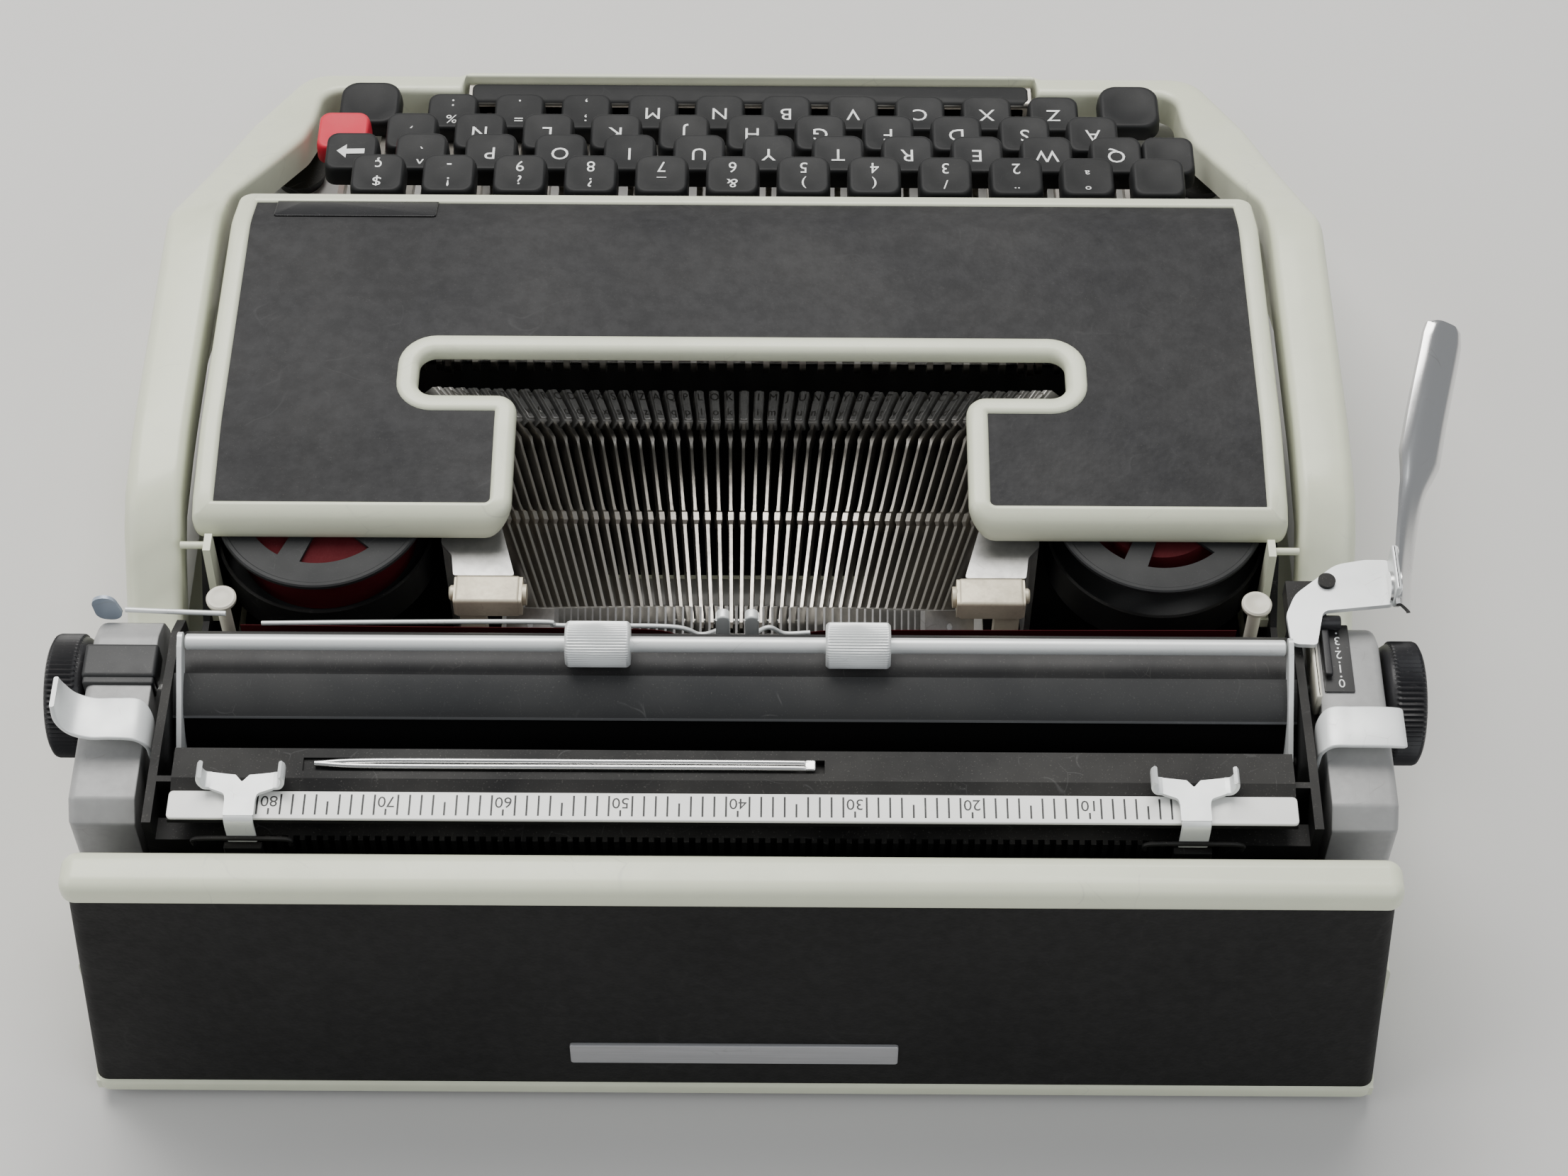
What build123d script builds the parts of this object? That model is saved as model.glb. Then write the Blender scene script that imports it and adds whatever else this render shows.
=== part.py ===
from build123d import *
import math
import os

# A flat portable typewriter, built as an assembly. Millimetres, +Z up, feet on z = 0.
# +X is the typist's right, -Y the keyboard side, +Y the rear.
# The pieces are drawn about the casing's centre plane; SHIFT moves them so that the
# overhanging return lever and the knobs leave the origin under the middle of the whole machine.

# ---- casing ----
width = 300.0
front_y = -160.0
rear_y = 160.0
wall = 2.5
foot_height = 4.0
foot_radius = 8.0
floor_thickness = 1.6
shoulder_y, shoulder_z = -58.0, 67.0
crease_y, crease_z = -134.0, 24.5
lip_z = 18.0
hood_y, hood_z = 11.0, 68.0
slope_y, slope_z = 34.0, 65.0
deck_y, deck_z = 57.0, 40.0
nose_width = 257.0
crease_width = 281.0
corner_radius = 18.0
ring_width = 14.5
well_side = 122.0
well_front_y = -149.6
notch_y = -157.3
skirt_depth = 9.0

# ---- rear housing ----
rear_wall_y = 146.0
rear_top_z = 82.5
cap_height = 5.5
cap_half_width = 144.0
panel_half_base = 148.5
panel_half_top = 142.5
panel_lean = 4.5
cap_overhang = 0.6

# ---- keys ----
key_pitch = 19.05
cap_size = 13.8
cap_depth = 6.0
cap_corner = 4.0
lever_thickness = 1.6
row_pitch = 17.0
row_rise = 9.4
bottom_row_y = -139.5
bottom_row_z = 22.5
first_key_x = -101.0
fulcrum_y, fulcrum_z = -38.0, 34.0
fulcrum_radius = 2.0
eye_radius = 4.4
shaft_gap = 0.05
space_half_length = 81.0
space_front_y = -155.8
space_depth = 8.3
space_top_z = 17.5

# ---- type basket ----
typing_y, typing_z = 77.0, 72.0
pivot_y, pivot_z = 37.0, 20.0
rest_angle = 169.3
fan_angle = 49.0
bar_count = 45
bar_length = 65.0
bar_thickness = 1.2
bar_height = 3.6
bar_foot_radius = 2.6
pivot_wire_radius = 0.9
slug_width = 2.6
slug_length = 9.0
slug_depth = 3.2
segment_thickness = 8.0
slot_width = 1.7

# ---- carriage ----
platen_y, platen_z = 93.0, 68.0
platen_radius = 15.0
platen_half_length = 121.0
shaft_radius = 4.0
knob_radius = 14.25
knob_width = 9.3
knob_gap = 0.9
end_plate_x, end_plate_thickness = 126.0, 2.0
end_cover_x, end_cover_width = 131.2, 15.0
end_cover_front_y, end_cover_rear_y = 77.0, 133.5
end_cover_top_z, end_cover_base_z = 82.0, 52.0
table_y, table_z = 120.0, 88.0
scale_front_y, scale_depth = 130.8, 7.0
scale_half_length = 122.5
rail_top_z = 47.0
support_y0, support_y1 = 122.8, 125.4
support_hinge_x, support_tip_x = -16.75, 92.0
bail_y, bail_z = 92.4, 89.0
bail_pivot_y, bail_pivot_z = 112.0, 72.0
bail_rod_radius = 1.8
bail_roller_radius = 5.2
bail_roller_length = 14.5
bail_roller_x = (30.8, -27.5)
feed_roller_radius = 5.0
lever_pivot_x, lever_pivot_y = -134.5, 73.0
lever_reach = 168.5

# ---- ribbon ----
spool_x, spool_y = 102.5, 27.0
spool_radius = 26.0
spool_top_z = 56.0
spool_height = 16.0
ribbon_y = 66.2
ribbon_top_z = 57.0
ribbon_width = 13.0

half = width / 2
knob_reach = end_cover_x + end_cover_width + knob_gap + knob_width
SHIFT = Pos((lever_reach - knob_reach) / 2, 0, 0)

os.makedirs("parts", exist_ok=True)


def save(name, *pieces):
    """Writes one node; several pieces stay separate solids of it."""
    solids = [solid for piece in pieces for solid in (SHIFT * piece).solids()]
    shape = solids[0] if len(solids) == 1 else Compound(solids)
    shape.label = name
    export_step(shape, f"parts/{name}.step")


def block(x0, x1, y0, y1, z0, z1):
    """A box between two corners."""
    return Pos((x0 + x1) / 2, (y0 + y1) / 2, (z0 + z1) / 2) * Box(x1 - x0, y1 - y0, z1 - z0)


def face_of(points):
    return make_face(Polyline(*points, close=True))


def across(points, x0, x1):
    """A (y, z) outline carried along X from x0 to x1."""
    return extrude(Plane.YZ.offset(x0) * face_of(points), amount=x1 - x0)


def upright(points, y0, y1):
    """An (x, z) outline carried along Y from y0 to y1."""
    plane = Plane(origin=(0, y1, 0), x_dir=(1, 0, 0), z_dir=(0, -1, 0))
    return extrude(plane * face_of(points), amount=y1 - y0)


def raised(face, z0, z1):
    """An (x, y) face carried up from z0 to z1."""
    return extrude(Pos(0, 0, z0) * face, amount=z1 - z0)


def rod(start, end, radius):
    """A round bar between two points."""
    a, b = Vector(*start), Vector(*end)
    plane = Plane(origin=a, z_dir=b - a)
    return extrude(plane * Circle(radius), amount=(b - a).length)


def both_sides(piece):
    """A piece and its mirror image across the centre plane."""
    return piece, mirror(piece, about=Plane.YZ)


def rounded_outline(points, radius):
    """A closed outline whose corners all have one radius."""
    face = face_of(points)
    return fillet(face.vertices(), radius)


# ---------------------------------------------------------------- casing
shell_rear_y = rear_wall_y
side_profile = [
    (front_y, foot_height), (front_y, lip_z), (crease_y, crease_z), (shoulder_y, shoulder_z),
    (hood_y, hood_z), (slope_y, slope_z), (deck_y, deck_z), (shell_rear_y, deck_z),
    (shell_rear_y, foot_height),
]
plan_face = face_of([
    (-nose_width / 2, front_y), (nose_width / 2, front_y), (crease_width / 2, crease_y),
    (half, shoulder_y), (half, shell_rear_y), (-half, shell_rear_y), (-half, shoulder_y),
    (-crease_width / 2, crease_y),
])
front_corners = plan_face.vertices().sort_by(Axis.Y)[:2]
plan_face = fillet(front_corners, corner_radius * 0.6)
outer_shell = across(side_profile, -half, half) & raised(plan_face, 0, 100)
inner_profile = offset(face_of(side_profile), -wall)
inner_plan = offset(plan_face, -wall)
inner_shell = extrude(Plane.YZ.offset(-half) * inner_profile, amount=width) & raised(inner_plan, 0, 100)
ring_inside = half - ring_width
opening_points = [
    (-well_side, well_front_y), (well_side, well_front_y), (well_side + 1.5, -118),
    (ring_inside, -72), (ring_inside, shell_rear_y + 1), (-ring_inside, shell_rear_y + 1),
    (-ring_inside, -72), (-well_side - 1.5, -118),
]
opening = face_of(opening_points)
notch = block(-space_half_length - 1.5, space_half_length + 1.5, notch_y, well_front_y + 1, 10, 40)
skirt_outline = raised(offset(opening, wall), 8, 100) - raised(opening, 0, 110)
skirt_profile = [(y, z - skirt_depth) for y, z in side_profile[1:6]]
skirt_profile += [(y, z) for y, z in reversed(side_profile[1:6])]
skirt = (skirt_outline & across(skirt_profile, -half, half)) & outer_shell
flange_gap = raised(offset(plan_face, -wall - 4.0), 0, foot_height + wall + 0.1)
shell = outer_shell - inner_shell - raised(opening, foot_height + wall, 110)
shell = (shell + skirt) - notch - flange_gap
shell -= block(-half + wall, half - wall, shell_rear_y - wall - 1, shell_rear_y + 1,
               foot_height + wall, 60)
flange_inside = half - wall - 4.0
shell -= block(-flange_inside, flange_inside, shell_rear_y - 20, shell_rear_y + 1, 0, foot_height + wall + 1)
save("body_shell", shell)

floor_front_y = -30.0
floor_z = foot_height + floor_thickness
floor_side = flange_inside - 0.3
floor = block(-floor_side, floor_side, floor_front_y, shell_rear_y, foot_height, floor_z)
floor -= block(-62, 62, 12, 46, 0, 10)
rear_trim = block(-panel_half_base, panel_half_base, shell_rear_y, rear_y, foot_height, foot_height + 3.5)
drum_x, drum_y, drum_radius = 92.0, 88.0, 18.0
drum_post = rod((drum_x, drum_y, floor_z), (drum_x, drum_y, 31), 3)
save("bottom_plate", floor + rear_trim + drum_post)

panel_base_z = foot_height + 3.5
panel_outer = upright(
    [(-panel_half_base, panel_base_z), (panel_half_base, panel_base_z),
     (panel_half_top, rear_top_z), (-panel_half_top, rear_top_z)], rear_wall_y, rear_y)
panel_outer &= across(
    [(rear_wall_y, panel_base_z), (rear_y, panel_base_z),
     (rear_y - panel_lean, rear_top_z), (rear_wall_y, rear_top_z)], -half, half)
panel_inner = upright(
    [(-panel_half_base + wall, panel_base_z), (panel_half_base - wall, panel_base_z),
     (panel_half_top - wall, rear_top_z), (-panel_half_top + wall, rear_top_z)], rear_wall_y, rear_y)
panel_inner &= across(
    [(rear_wall_y - 1, panel_base_z), (rear_y - wall, panel_base_z),
     (rear_y - wall - panel_lean, rear_top_z), (rear_wall_y - 1, rear_top_z)], -half, half)
save("rear_panel", panel_outer - panel_inner)

cap = block(-cap_half_width, cap_half_width, rear_wall_y - cap_overhang,
            rear_y - panel_lean + cap_overhang, rear_top_z, rear_top_z + cap_height)
cap = fillet(cap.edges().filter_by(Axis.X).group_by(Axis.Z)[-1], 2.4)
cap -= block(-cap_half_width + wall, cap_half_width - wall, rear_wall_y + 1.5,
             rear_y - panel_lean - wall, rear_top_z - 1, rear_top_z + cap_height - wall)
save("rear_cap", cap)

plate_z0, plate_z1 = 18.0, 25.5
lean_at = panel_lean / (rear_top_z - panel_base_z)
plate_face = [
    (rear_y - lean_at * (z - panel_base_z) + off, z)
    for z, off in ((plate_z0, 0), (plate_z0, 0.8), (plate_z1, 0.8), (plate_z1, 0))
]
save("rear_plate", across(plate_face, -37.5, 37.5))

foot = Pos(0, 0, foot_height / 2) * Cone(foot_radius * 0.85, foot_radius, foot_height)
foot_spots = [(x, y) for x, y in ((-115, rear_y - 30), (115, rear_y - 30), (-130, -134), (130, -134))]
save("rubber_feet", *[Pos(x, y, 0) * foot for x, y in foot_spots])

# ---------------------------------------------------------------- chassis
frame_x, frame_thickness = 129.6, 1.6
frame_outline = [
    (-44, floor_z), (-44, 41), (-8, 52), (40, 52), (52, 40),
    (108, 40), (108, 44), (122, 44), (122, 40), (140, 34), (140, floor_z),
]
side_frame = across(frame_outline, frame_x, frame_x + frame_thickness)
tie_spots = [(62.0, 12.0, 2.5), (132.0, 12.0, 2.5), (fulcrum_y, fulcrum_z, fulcrum_radius)]
for y, z, radius in tie_spots:
    side_frame -= rod((frame_x - 1, y, z), (frame_x + 4, y, z), radius + shaft_gap)
save("side_frames", *both_sides(side_frame))
save("tie_rods", *[
    rod((-frame_x - frame_thickness, y, z), (frame_x + frame_thickness, y, z), radius)
    for y, z, radius in tie_spots
])
rail_y, rail_width = 115.0, 12.0
rail = block(-frame_x - frame_thickness, frame_x + frame_thickness,
             rail_y - rail_width / 2, rail_y + rail_width / 2, 44, rail_top_z)
save("carriage_rail", rail)

# ---------------------------------------------------------------- keyboard
row_y = [bottom_row_y + row_pitch * n for n in range(4)]
row_z = [bottom_row_z + row_rise * n for n in range(4)]
lever_front_z = [12.0, 18.0, 25.0, 33.5]
Z_ROW, A_ROW, Q_ROW, NUMBER_ROW = range(4)


def key_cap(x, y, top_z, size_x=cap_size, size_y=cap_size, depth=cap_depth, corner=cap_corner):
    """A cap that widens downwards, with a shallow dish in its top."""
    cap_body = extrude(Pos(x, y, top_z) * RectangleRounded(size_x, size_y, corner),
                       amount=-depth, taper=-3)
    dish_radius = 42.0
    return cap_body - Pos(x, y, top_z + dish_radius - 0.5) * Sphere(dish_radius)


def key_lever(x, y, bottom_z, stem_top_z, stem_y0, stem_y1):
    """A flat lever from the fulcrum eye to the key, with the upright that carries the cap."""
    arm = across(
        [(fulcrum_y, fulcrum_z - 3), (fulcrum_y, fulcrum_z + 3), (stem_y1, bottom_z + 4),
         (stem_y1, stem_top_z), (stem_y0, stem_top_z), (stem_y0, bottom_z)],
        x - lever_thickness / 2, x + lever_thickness / 2)
    eye = rod((x - lever_thickness / 2, fulcrum_y, fulcrum_z),
              (x + lever_thickness / 2, fulcrum_y, fulcrum_z), eye_radius)
    bore = rod((x - 5, fulcrum_y, fulcrum_z), (x + 5, fulcrum_y, fulcrum_z),
               fulcrum_radius + shaft_gap)
    return arm + eye - bore


def key(row, column, size_x=cap_size):
    """One key of a row: cap, upright and lever in one piece. Columns are key pitches from Q."""
    x = first_key_x + key_pitch * column
    y, z = row_y[row], row_z[row]
    lever = key_lever(x, y, lever_front_z[row], z - 3, y - 2.5, y + 2.5)
    return key_cap(x, y, z, size_x) + lever


striking_column = 4.25
number_columns = [n - 0.5 for n in range(12)]
q_columns = [-0.75] + list(range(11))
a_columns = [n + 0.25 for n in range(11) if n + 0.25 != striking_column]
z_columns = [n + 0.75 for n in range(10)]
save("number_row_keys", *[key(NUMBER_ROW, c) for c in number_columns])
save("upper_row_keys", *[key(Q_ROW, c) for c in q_columns])
save("home_row_keys", *[key(A_ROW, c) for c in a_columns])
save("lower_row_keys", *[key(Z_ROW, c) for c in z_columns])
save("striking_key", key(A_ROW, striking_column))
save("tab_key", key(A_ROW, 11.25))
save("backspace_key", key(Q_ROW, 11))

shift_x, shift_y, shift_z = 108.0, -140.2, 25.0
shift_pieces = []
for x, column in ((-shift_x, -0.25), (shift_x, 10.75)):
    shift_cap = key_cap(x, shift_y, shift_z, 17.0, 16.8, 5.0, 5.0)
    arm_x = first_key_x + key_pitch * column
    shift_arm = key_lever(arm_x, shift_y, 15.0, shift_z - 3, shift_y + 1.0, shift_y + 6.0)
    shift_pieces.append(shift_cap + shift_arm)
save("shift_keys", *shift_pieces)

space_y = space_front_y + space_depth / 2
space_body = block(-space_half_length, space_half_length, space_front_y,
                   space_front_y + space_depth, space_top_z - 6, space_top_z)
space_body = fillet(space_body.edges().filter_by(Axis.X).group_by(Axis.Z)[-1], 1.6)
crank_y0, crank_y1, crank_z0, crank_z1 = -130.5, -127.0, 10.5, 14.5
for column in (1.25, 9.25):
    front_x = first_key_x + key_pitch * column
    rear_x = front_x + key_pitch / 8
    space_body += block(front_x - lever_thickness / 2, front_x + lever_thickness / 2,
                        space_y, crank_y1, crank_z0 - 1.0, crank_z1 - 1.0)
    space_body += block(front_x - lever_thickness / 2, rear_x + lever_thickness / 2,
                        crank_y0, crank_y1, crank_z0 - 1.0, crank_z1 - 1.0)
    space_body += key_lever(rear_x, crank_y0, crank_z0 - 1.0, crank_z1, crank_y0, crank_y1)
save("space_bar", space_body)

# ---------------------------------------------------------------- type basket
typing_point = Vector(0, typing_y, typing_z)
down_y, down_z = pivot_y - typing_y, pivot_z - typing_z
segment_radius = math.hypot(down_y, down_z)
down = Vector(0, down_y / segment_radius, down_z / segment_radius)
face_normal = Vector(0, down.Z, -down.Y)
segment_plane = Plane(origin=typing_point, x_dir=(1, 0, 0), z_dir=face_normal)
down_angle = math.degrees(math.atan2(down_z, down_y)) % 360
rise_angle = down_angle - rest_angle
fan_step = 2 * fan_angle / (bar_count - 1)


def in_segment(radius0, radius1, angle0, angle1, low, high):
    """A sector of a ring about the typing point, in the segment's plane; angle 0 is straight down."""
    steps = 24
    angles = [angle0 + (angle1 - angle0) * n / steps for n in range(steps + 1)]
    outer = [(radius1 * math.sin(math.radians(a)), -radius1 * math.cos(math.radians(a))) for a in angles]
    inner = [(radius0 * math.sin(math.radians(a)), -radius0 * math.cos(math.radians(a))) for a in angles]
    outline = face_of(outer + inner[::-1])
    return extrude(segment_plane.offset(low) * outline, amount=high - low)


def fan_plane(angle):
    """The plane a type bar swings in: x outwards along its fan direction, y towards the typist."""
    direction = Vector(math.sin(math.radians(angle)), down.Y * math.cos(math.radians(angle)),
                       down.Z * math.cos(math.radians(angle)))
    return Plane(origin=typing_point + direction * segment_radius, x_dir=direction,
                 z_dir=direction.cross(face_normal))


def bar_shape():
    """A type bar in its swing plane: round foot, straight arm with a raised joint halfway."""
    run, rise = math.cos(math.radians(rise_angle)), math.sin(math.radians(rise_angle))

    def spot(along, side):
        return (run * along - rise * side, rise * along + run * side)

    h = bar_height / 2
    slug_start = bar_length - slug_length
    arm = face_of([
        spot(0, -h), spot(26, -h), spot(27, -h - 1), spot(30, -h - 1), spot(31, -h),
        spot(slug_start, -h * 0.8), spot(bar_length, -h * 0.8), spot(bar_length, h * 0.8),
        spot(slug_start, h * 0.8), spot(31, h), spot(30, h + 1), spot(27, h + 1), spot(26, h), spot(0, h),
    ])
    foot_disc = Circle(bar_foot_radius)
    return arm + foot_disc - Circle(pivot_wire_radius + shaft_gap)


def slug_shape():
    """A type slug: a short block across the end of the bar on its inner side."""
    run, rise = math.cos(math.radians(rise_angle)), math.sin(math.radians(rise_angle))
    inner_side = bar_height / 2 * 0.8
    middle = (run * (bar_length - 4.5) + rise * (inner_side + slug_depth / 2) * -1,
              rise * (bar_length - 4.5) + run * (inner_side + slug_depth / 2))
    return Pos(*middle) * Rot(0, 0, rise_angle) * Rectangle(slug_length, slug_depth)


def in_fan(flat, angle, thickness):
    """A flat shape of the swing plane, thickened evenly about it."""
    plane = fan_plane(angle)
    return extrude(plane.offset(-thickness / 2) * flat, amount=thickness)


fan_angles = [-fan_angle + fan_step * n for n in range(bar_count)]
striking_index = bar_count // 2
bar_flat = bar_shape()
slug_flat = slug_shape()
resting = [a for n, a in enumerate(fan_angles) if n != striking_index]
save("type_bars", *[in_fan(bar_flat, a, bar_thickness) for a in resting])
save("type_slugs", *[in_fan(slug_flat, a, slug_width) for a in resting])
save("striking_type_bar", in_fan(bar_flat, 0, bar_thickness) + in_fan(slug_flat, 0, slug_width))

segment_edge = fan_angle + 2.4
segment = in_segment(segment_radius - 8, segment_radius + 8, -segment_edge, segment_edge,
                     -segment_thickness / 2, segment_thickness / 2)
slot_flat = Pos(-3.4, 2.5) * Rectangle(17.6, segment_thickness + 2.6)
for angle in fan_angles:
    segment -= in_fan(slot_flat, angle, slot_width)
wire_reach = math.radians(segment_edge)
wire_path = [
    segment_plane.from_local_coords((segment_radius * math.sin(a), -segment_radius * math.cos(a), 0))
    for a in (-wire_reach, 0, wire_reach)
]
wire_arc = ThreePointArc(*wire_path)
wire_start = Plane(origin=wire_arc @ 0, z_dir=wire_arc % 0)
segment -= sweep(wire_start * Circle(pivot_wire_radius + shaft_gap), path=wire_arc)
save("segment", segment)
save("fulcrum_wire", sweep(wire_start * Circle(pivot_wire_radius), path=wire_arc))

guide_post = block(1.8, 5.0, typing_y - 5.0, typing_y - 2.6, 50, typing_z + 1)
guide_base = block(-7, 7, typing_y - 6.0, typing_y - 1.6, 42, 50)
guide = guide_base + guide_post + mirror(guide_post, about=Plane.YZ)
guide += block(-60, 60, typing_y - 6.0, typing_y - 4.0, 42, 45)
for x in (-60, 60):
    guide += block(x - 6, x + 6, typing_y - 6.0, typing_y - 4.0, floor_z, 45)
save("type_guide", guide)

bracket_z = 49.5
bracket_plan = face_of([(63, 18), (57.5, 46), (69, 46), (70, 40), (73, 36), (73, 18)])
bracket = raised(bracket_plan, bracket_z, bracket_z + 1.5)
bracket += block(71.5, 73, 18, 36, floor_z, bracket_z + 1.5)
save("basket_brackets", *both_sides(bracket))
pivot_block = block(52.5, 69, 46.8, 54.6, 46.5, 52.5)
pivot_block = fillet(pivot_block.edges().filter_by(Axis.X), 0.8)
pivot_post = block(62, 68, 48.5, 53.0, floor_z, 46.5)
save("pivot_blocks", *both_sides(pivot_block + pivot_post))

# ---------------------------------------------------------------- ribbon
cup_radius = spool_radius + 1.0
cup_floor_z = spool_top_z - spool_height - 2.5
cup = Pos(spool_x, spool_y, 0) * raised(Circle(cup_radius), cup_floor_z - 1.5, cup_floor_z + 9)
cup -= Pos(spool_x, spool_y, 0) * raised(Circle(cup_radius - 0.8), cup_floor_z, 70)
cup += rod((spool_x, spool_y, cup_floor_z - 1.5), (spool_x, spool_y, spool_top_z + 1), 2.4)
cup += rod((spool_x, spool_y, floor_z), (spool_x, spool_y, cup_floor_z), 5)
save("spool_cups", *both_sides(cup))


def spool(x):
    """A reel with an open five-spoked top flange, a plain lower flange and a hub."""
    bottom_z = spool_top_z - spool_height
    reel = Pos(x, spool_y, 0) * (
        raised(Circle(spool_radius), bottom_z, bottom_z + 1.2)
        + raised(Circle(8), bottom_z, spool_top_z)
        + raised(Circle(spool_radius), spool_top_z - 1.2, spool_top_z))
    window = raised(Pos(13.2, 0) * RectangleRounded(8.2, 9.5, 3.8), spool_top_z - 3, spool_top_z + 1)
    for n in range(5):
        reel -= Pos(x, spool_y, 0) * Rot(0, 0, 72 * n + 18) * window
    return reel - rod((x, spool_y, bottom_z - 1), (x, spool_y, spool_top_z + 2), 2.4 + shaft_gap)


def wound_ribbon(x, radius):
    coil = raised(Circle(radius) - Circle(8), spool_top_z - spool_height + 1.2, spool_top_z - 1.2)
    return Pos(x, spool_y, 0) * coil


save("spool_right", spool(spool_x))
save("spool_left", spool(-spool_x))
save("ribbon_pack_right", wound_ribbon(spool_x, 22.0))
save("ribbon_pack_left", wound_ribbon(-spool_x, 15.0))

post_x, post_y = 123.8, 57.2
ribbon_post = rod((post_x, post_y, floor_z), (post_x, post_y, spool_top_z), 1.6)
ribbon_post += rod((post_x, post_y, spool_top_z), (post_x, post_y, spool_top_z + 1.5), 3.35)
save("ribbon_posts", *both_sides(ribbon_post))
low = ribbon_top_z - ribbon_width
dip = 12.0
ribbon_outline = [
    (-118, low), (-16, low), (-8, low - dip), (8, low - dip), (16, low), (118, low),
    (118, ribbon_top_z), (16, ribbon_top_z), (8, ribbon_top_z - dip),
    (-8, ribbon_top_z - dip), (-16, ribbon_top_z), (-118, ribbon_top_z),
]
save("ribbon", upright(ribbon_outline, ribbon_y, ribbon_y + 0.4))

# ---------------------------------------------------------------- ribbon cover
cover_half = 132.6
cover_front_y, cover_rear_y = -72.0, 38.5
cover_thickness = 3.0
inset_depth = 0.8
cover_top = [(cover_front_y, 60.5), (-56.0, 67.0), (hood_y, 68.0), (35.5, 64.5)]
cover_profile = (
    [(cover_front_y, 55.5)] + cover_top + [(cover_rear_y, 57.0), (cover_rear_y - 2.5, 57.0)]
    + [(y, z - cover_thickness) for y, z in reversed(cover_top[1:])]
    + [(cover_front_y + 2.5, 55.5)])
slot_half, slot_front_y, slot_rear_y = 80.4, -12.0, 2.0
stem_half = 55.4
rim_width = 5.2
t_points = [
    (-slot_half, slot_front_y), (slot_half, slot_front_y), (slot_half, slot_rear_y),
    (stem_half, slot_rear_y), (stem_half, cover_rear_y + 1), (-stem_half, cover_rear_y + 1),
    (-stem_half, slot_rear_y), (-slot_half, slot_rear_y),
]
t_opening = face_of(t_points)
inner_t_corners = [
    v for v in t_opening.vertices() if v.Y < cover_rear_y
]
t_opening = fillet(inner_t_corners, 4.0)
cover_plan = rounded_outline(
    [(-cover_half, cover_front_y), (cover_half, cover_front_y),
     (cover_half, cover_rear_y), (-cover_half, cover_rear_y)], 7)
cover_slab = across(cover_profile, -cover_half, cover_half) & raised(cover_plan, 0, 100)
cover_slab -= raised(t_opening, 0, 100)
inset_side = cover_half - rim_width
inset_plan = face_of([
    (-inset_side, cover_front_y + 3), (inset_side, cover_front_y + 3),
    (inset_side, cover_rear_y - 7.5), (-inset_side, cover_rear_y - 7.5)])
inset_plan = fillet(inset_plan.vertices(), 6)
t_rim = offset(t_opening, rim_width)
inset_profile = cover_top + [(y, z - inset_depth) for y, z in reversed(cover_top)]
inset = across(inset_profile, -cover_half, cover_half)
inset = (inset & raised(inset_plan, 0, 100)) - raised(t_rim, 0, 100)
cover_slab -= inset
hinge_y, hinge_z = 44.0, 59.0
lug = across([(30, 60), (hinge_y, hinge_z + 2), (hinge_y + 2, hinge_z), (hinge_y, hinge_z - 2), (30, 57)],
             129.6, cover_half)
lug -= rod((120, hinge_y - 1, hinge_z), (140, hinge_y - 1, hinge_z), 0.9 + shaft_gap)
cover_slab = cover_slab + lug + mirror(lug, about=Plane.YZ)
save("cover_frame", cover_slab)
save("cover_inset", inset)
badge_y0, badge_y1 = -68.0, -59.0
front_slope = (cover_top[1][1] - cover_top[0][1]) / (cover_top[1][0] - cover_top[0][0])
badge_face = [
    (y, cover_top[0][1] + front_slope * (y - cover_front_y) + rise)
    for y, rise in ((badge_y0, 0), (badge_y1, 0), (badge_y1, 0.5), (badge_y0, 0.5))
]
save("badge_plate", across(badge_face, 80, 122))
hinge_pin = rod((127.4, hinge_y - 1, hinge_z), (ring_inside - 0.6, hinge_y - 1, hinge_z), 0.9)
hinge_arm = across([(42, 36), (49, 36), (46, 61), (41, 61)], 127.2, 129.0)
save("hinge_pins", *both_sides(hinge_pin + hinge_arm + block(127.2, frame_x, 42, 49, 36, 39)))

# ---------------------------------------------------------------- carriage
end_inner = end_plate_x + end_plate_thickness
end_plate = across([
    (80, 56), (80, 80), (86, 84), (118, 86), (138, 86), (138, 72), (128, 52), (120, 48),
    (108, 48), (100, 52)], end_plate_x, end_inner)
bore_for_shaft = rod((-160, platen_y, platen_z), (160, platen_y, platen_z), shaft_radius + shaft_gap)
carriage = end_plate + mirror(end_plate, about=Plane.YZ)
carriage += block(-end_inner, end_inner, rail_y - 4, rail_y + 4, rail_top_z + 0.3, rail_top_z + 3.3)
carriage += block(-end_inner, end_inner, 124, 128, 56, 66)
stud_ear_z = end_cover_top_z + 1.2
carriage += block(lever_pivot_x - 4, -end_plate_x, lever_pivot_y - 3.5, lever_pivot_y + 3.5,
                  stud_ear_z - 2, stud_ear_z)
carriage += block(-end_inner, -end_plate_x, lever_pivot_y - 3.5, 86, 78, stud_ear_z)
carriage += rod((lever_pivot_x, lever_pivot_y, stud_ear_z), (lever_pivot_x, lever_pivot_y,
                end_cover_top_z + 6.5), 2)
carriage_body = carriage - bore_for_shaft

cover_box = block(end_cover_x, end_cover_x + end_cover_width, end_cover_front_y, end_cover_rear_y,
                  end_cover_base_z, end_cover_top_z)
cover_box = fillet(cover_box.edges().filter_by(Axis.Y).group_by(Axis.Z)[-1].sort_by(Axis.X)[-1:], 3)
cover_box -= block(end_cover_x - 1, end_cover_x + end_cover_width - 2, end_cover_front_y + 2,
                   end_cover_rear_y - 2, end_cover_base_z - 1, end_cover_top_z - 2)
for y, z in ((84.0, 60.0), (128.0, 60.0)):
    cover_box += rod((end_inner, y, z), (end_cover_x + end_cover_width - 1, y, z), 2.5)
cover_box -= bore_for_shaft
save("end_cover_right", cover_box)
save("end_cover_left", mirror(cover_box, about=Plane.YZ))


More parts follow.
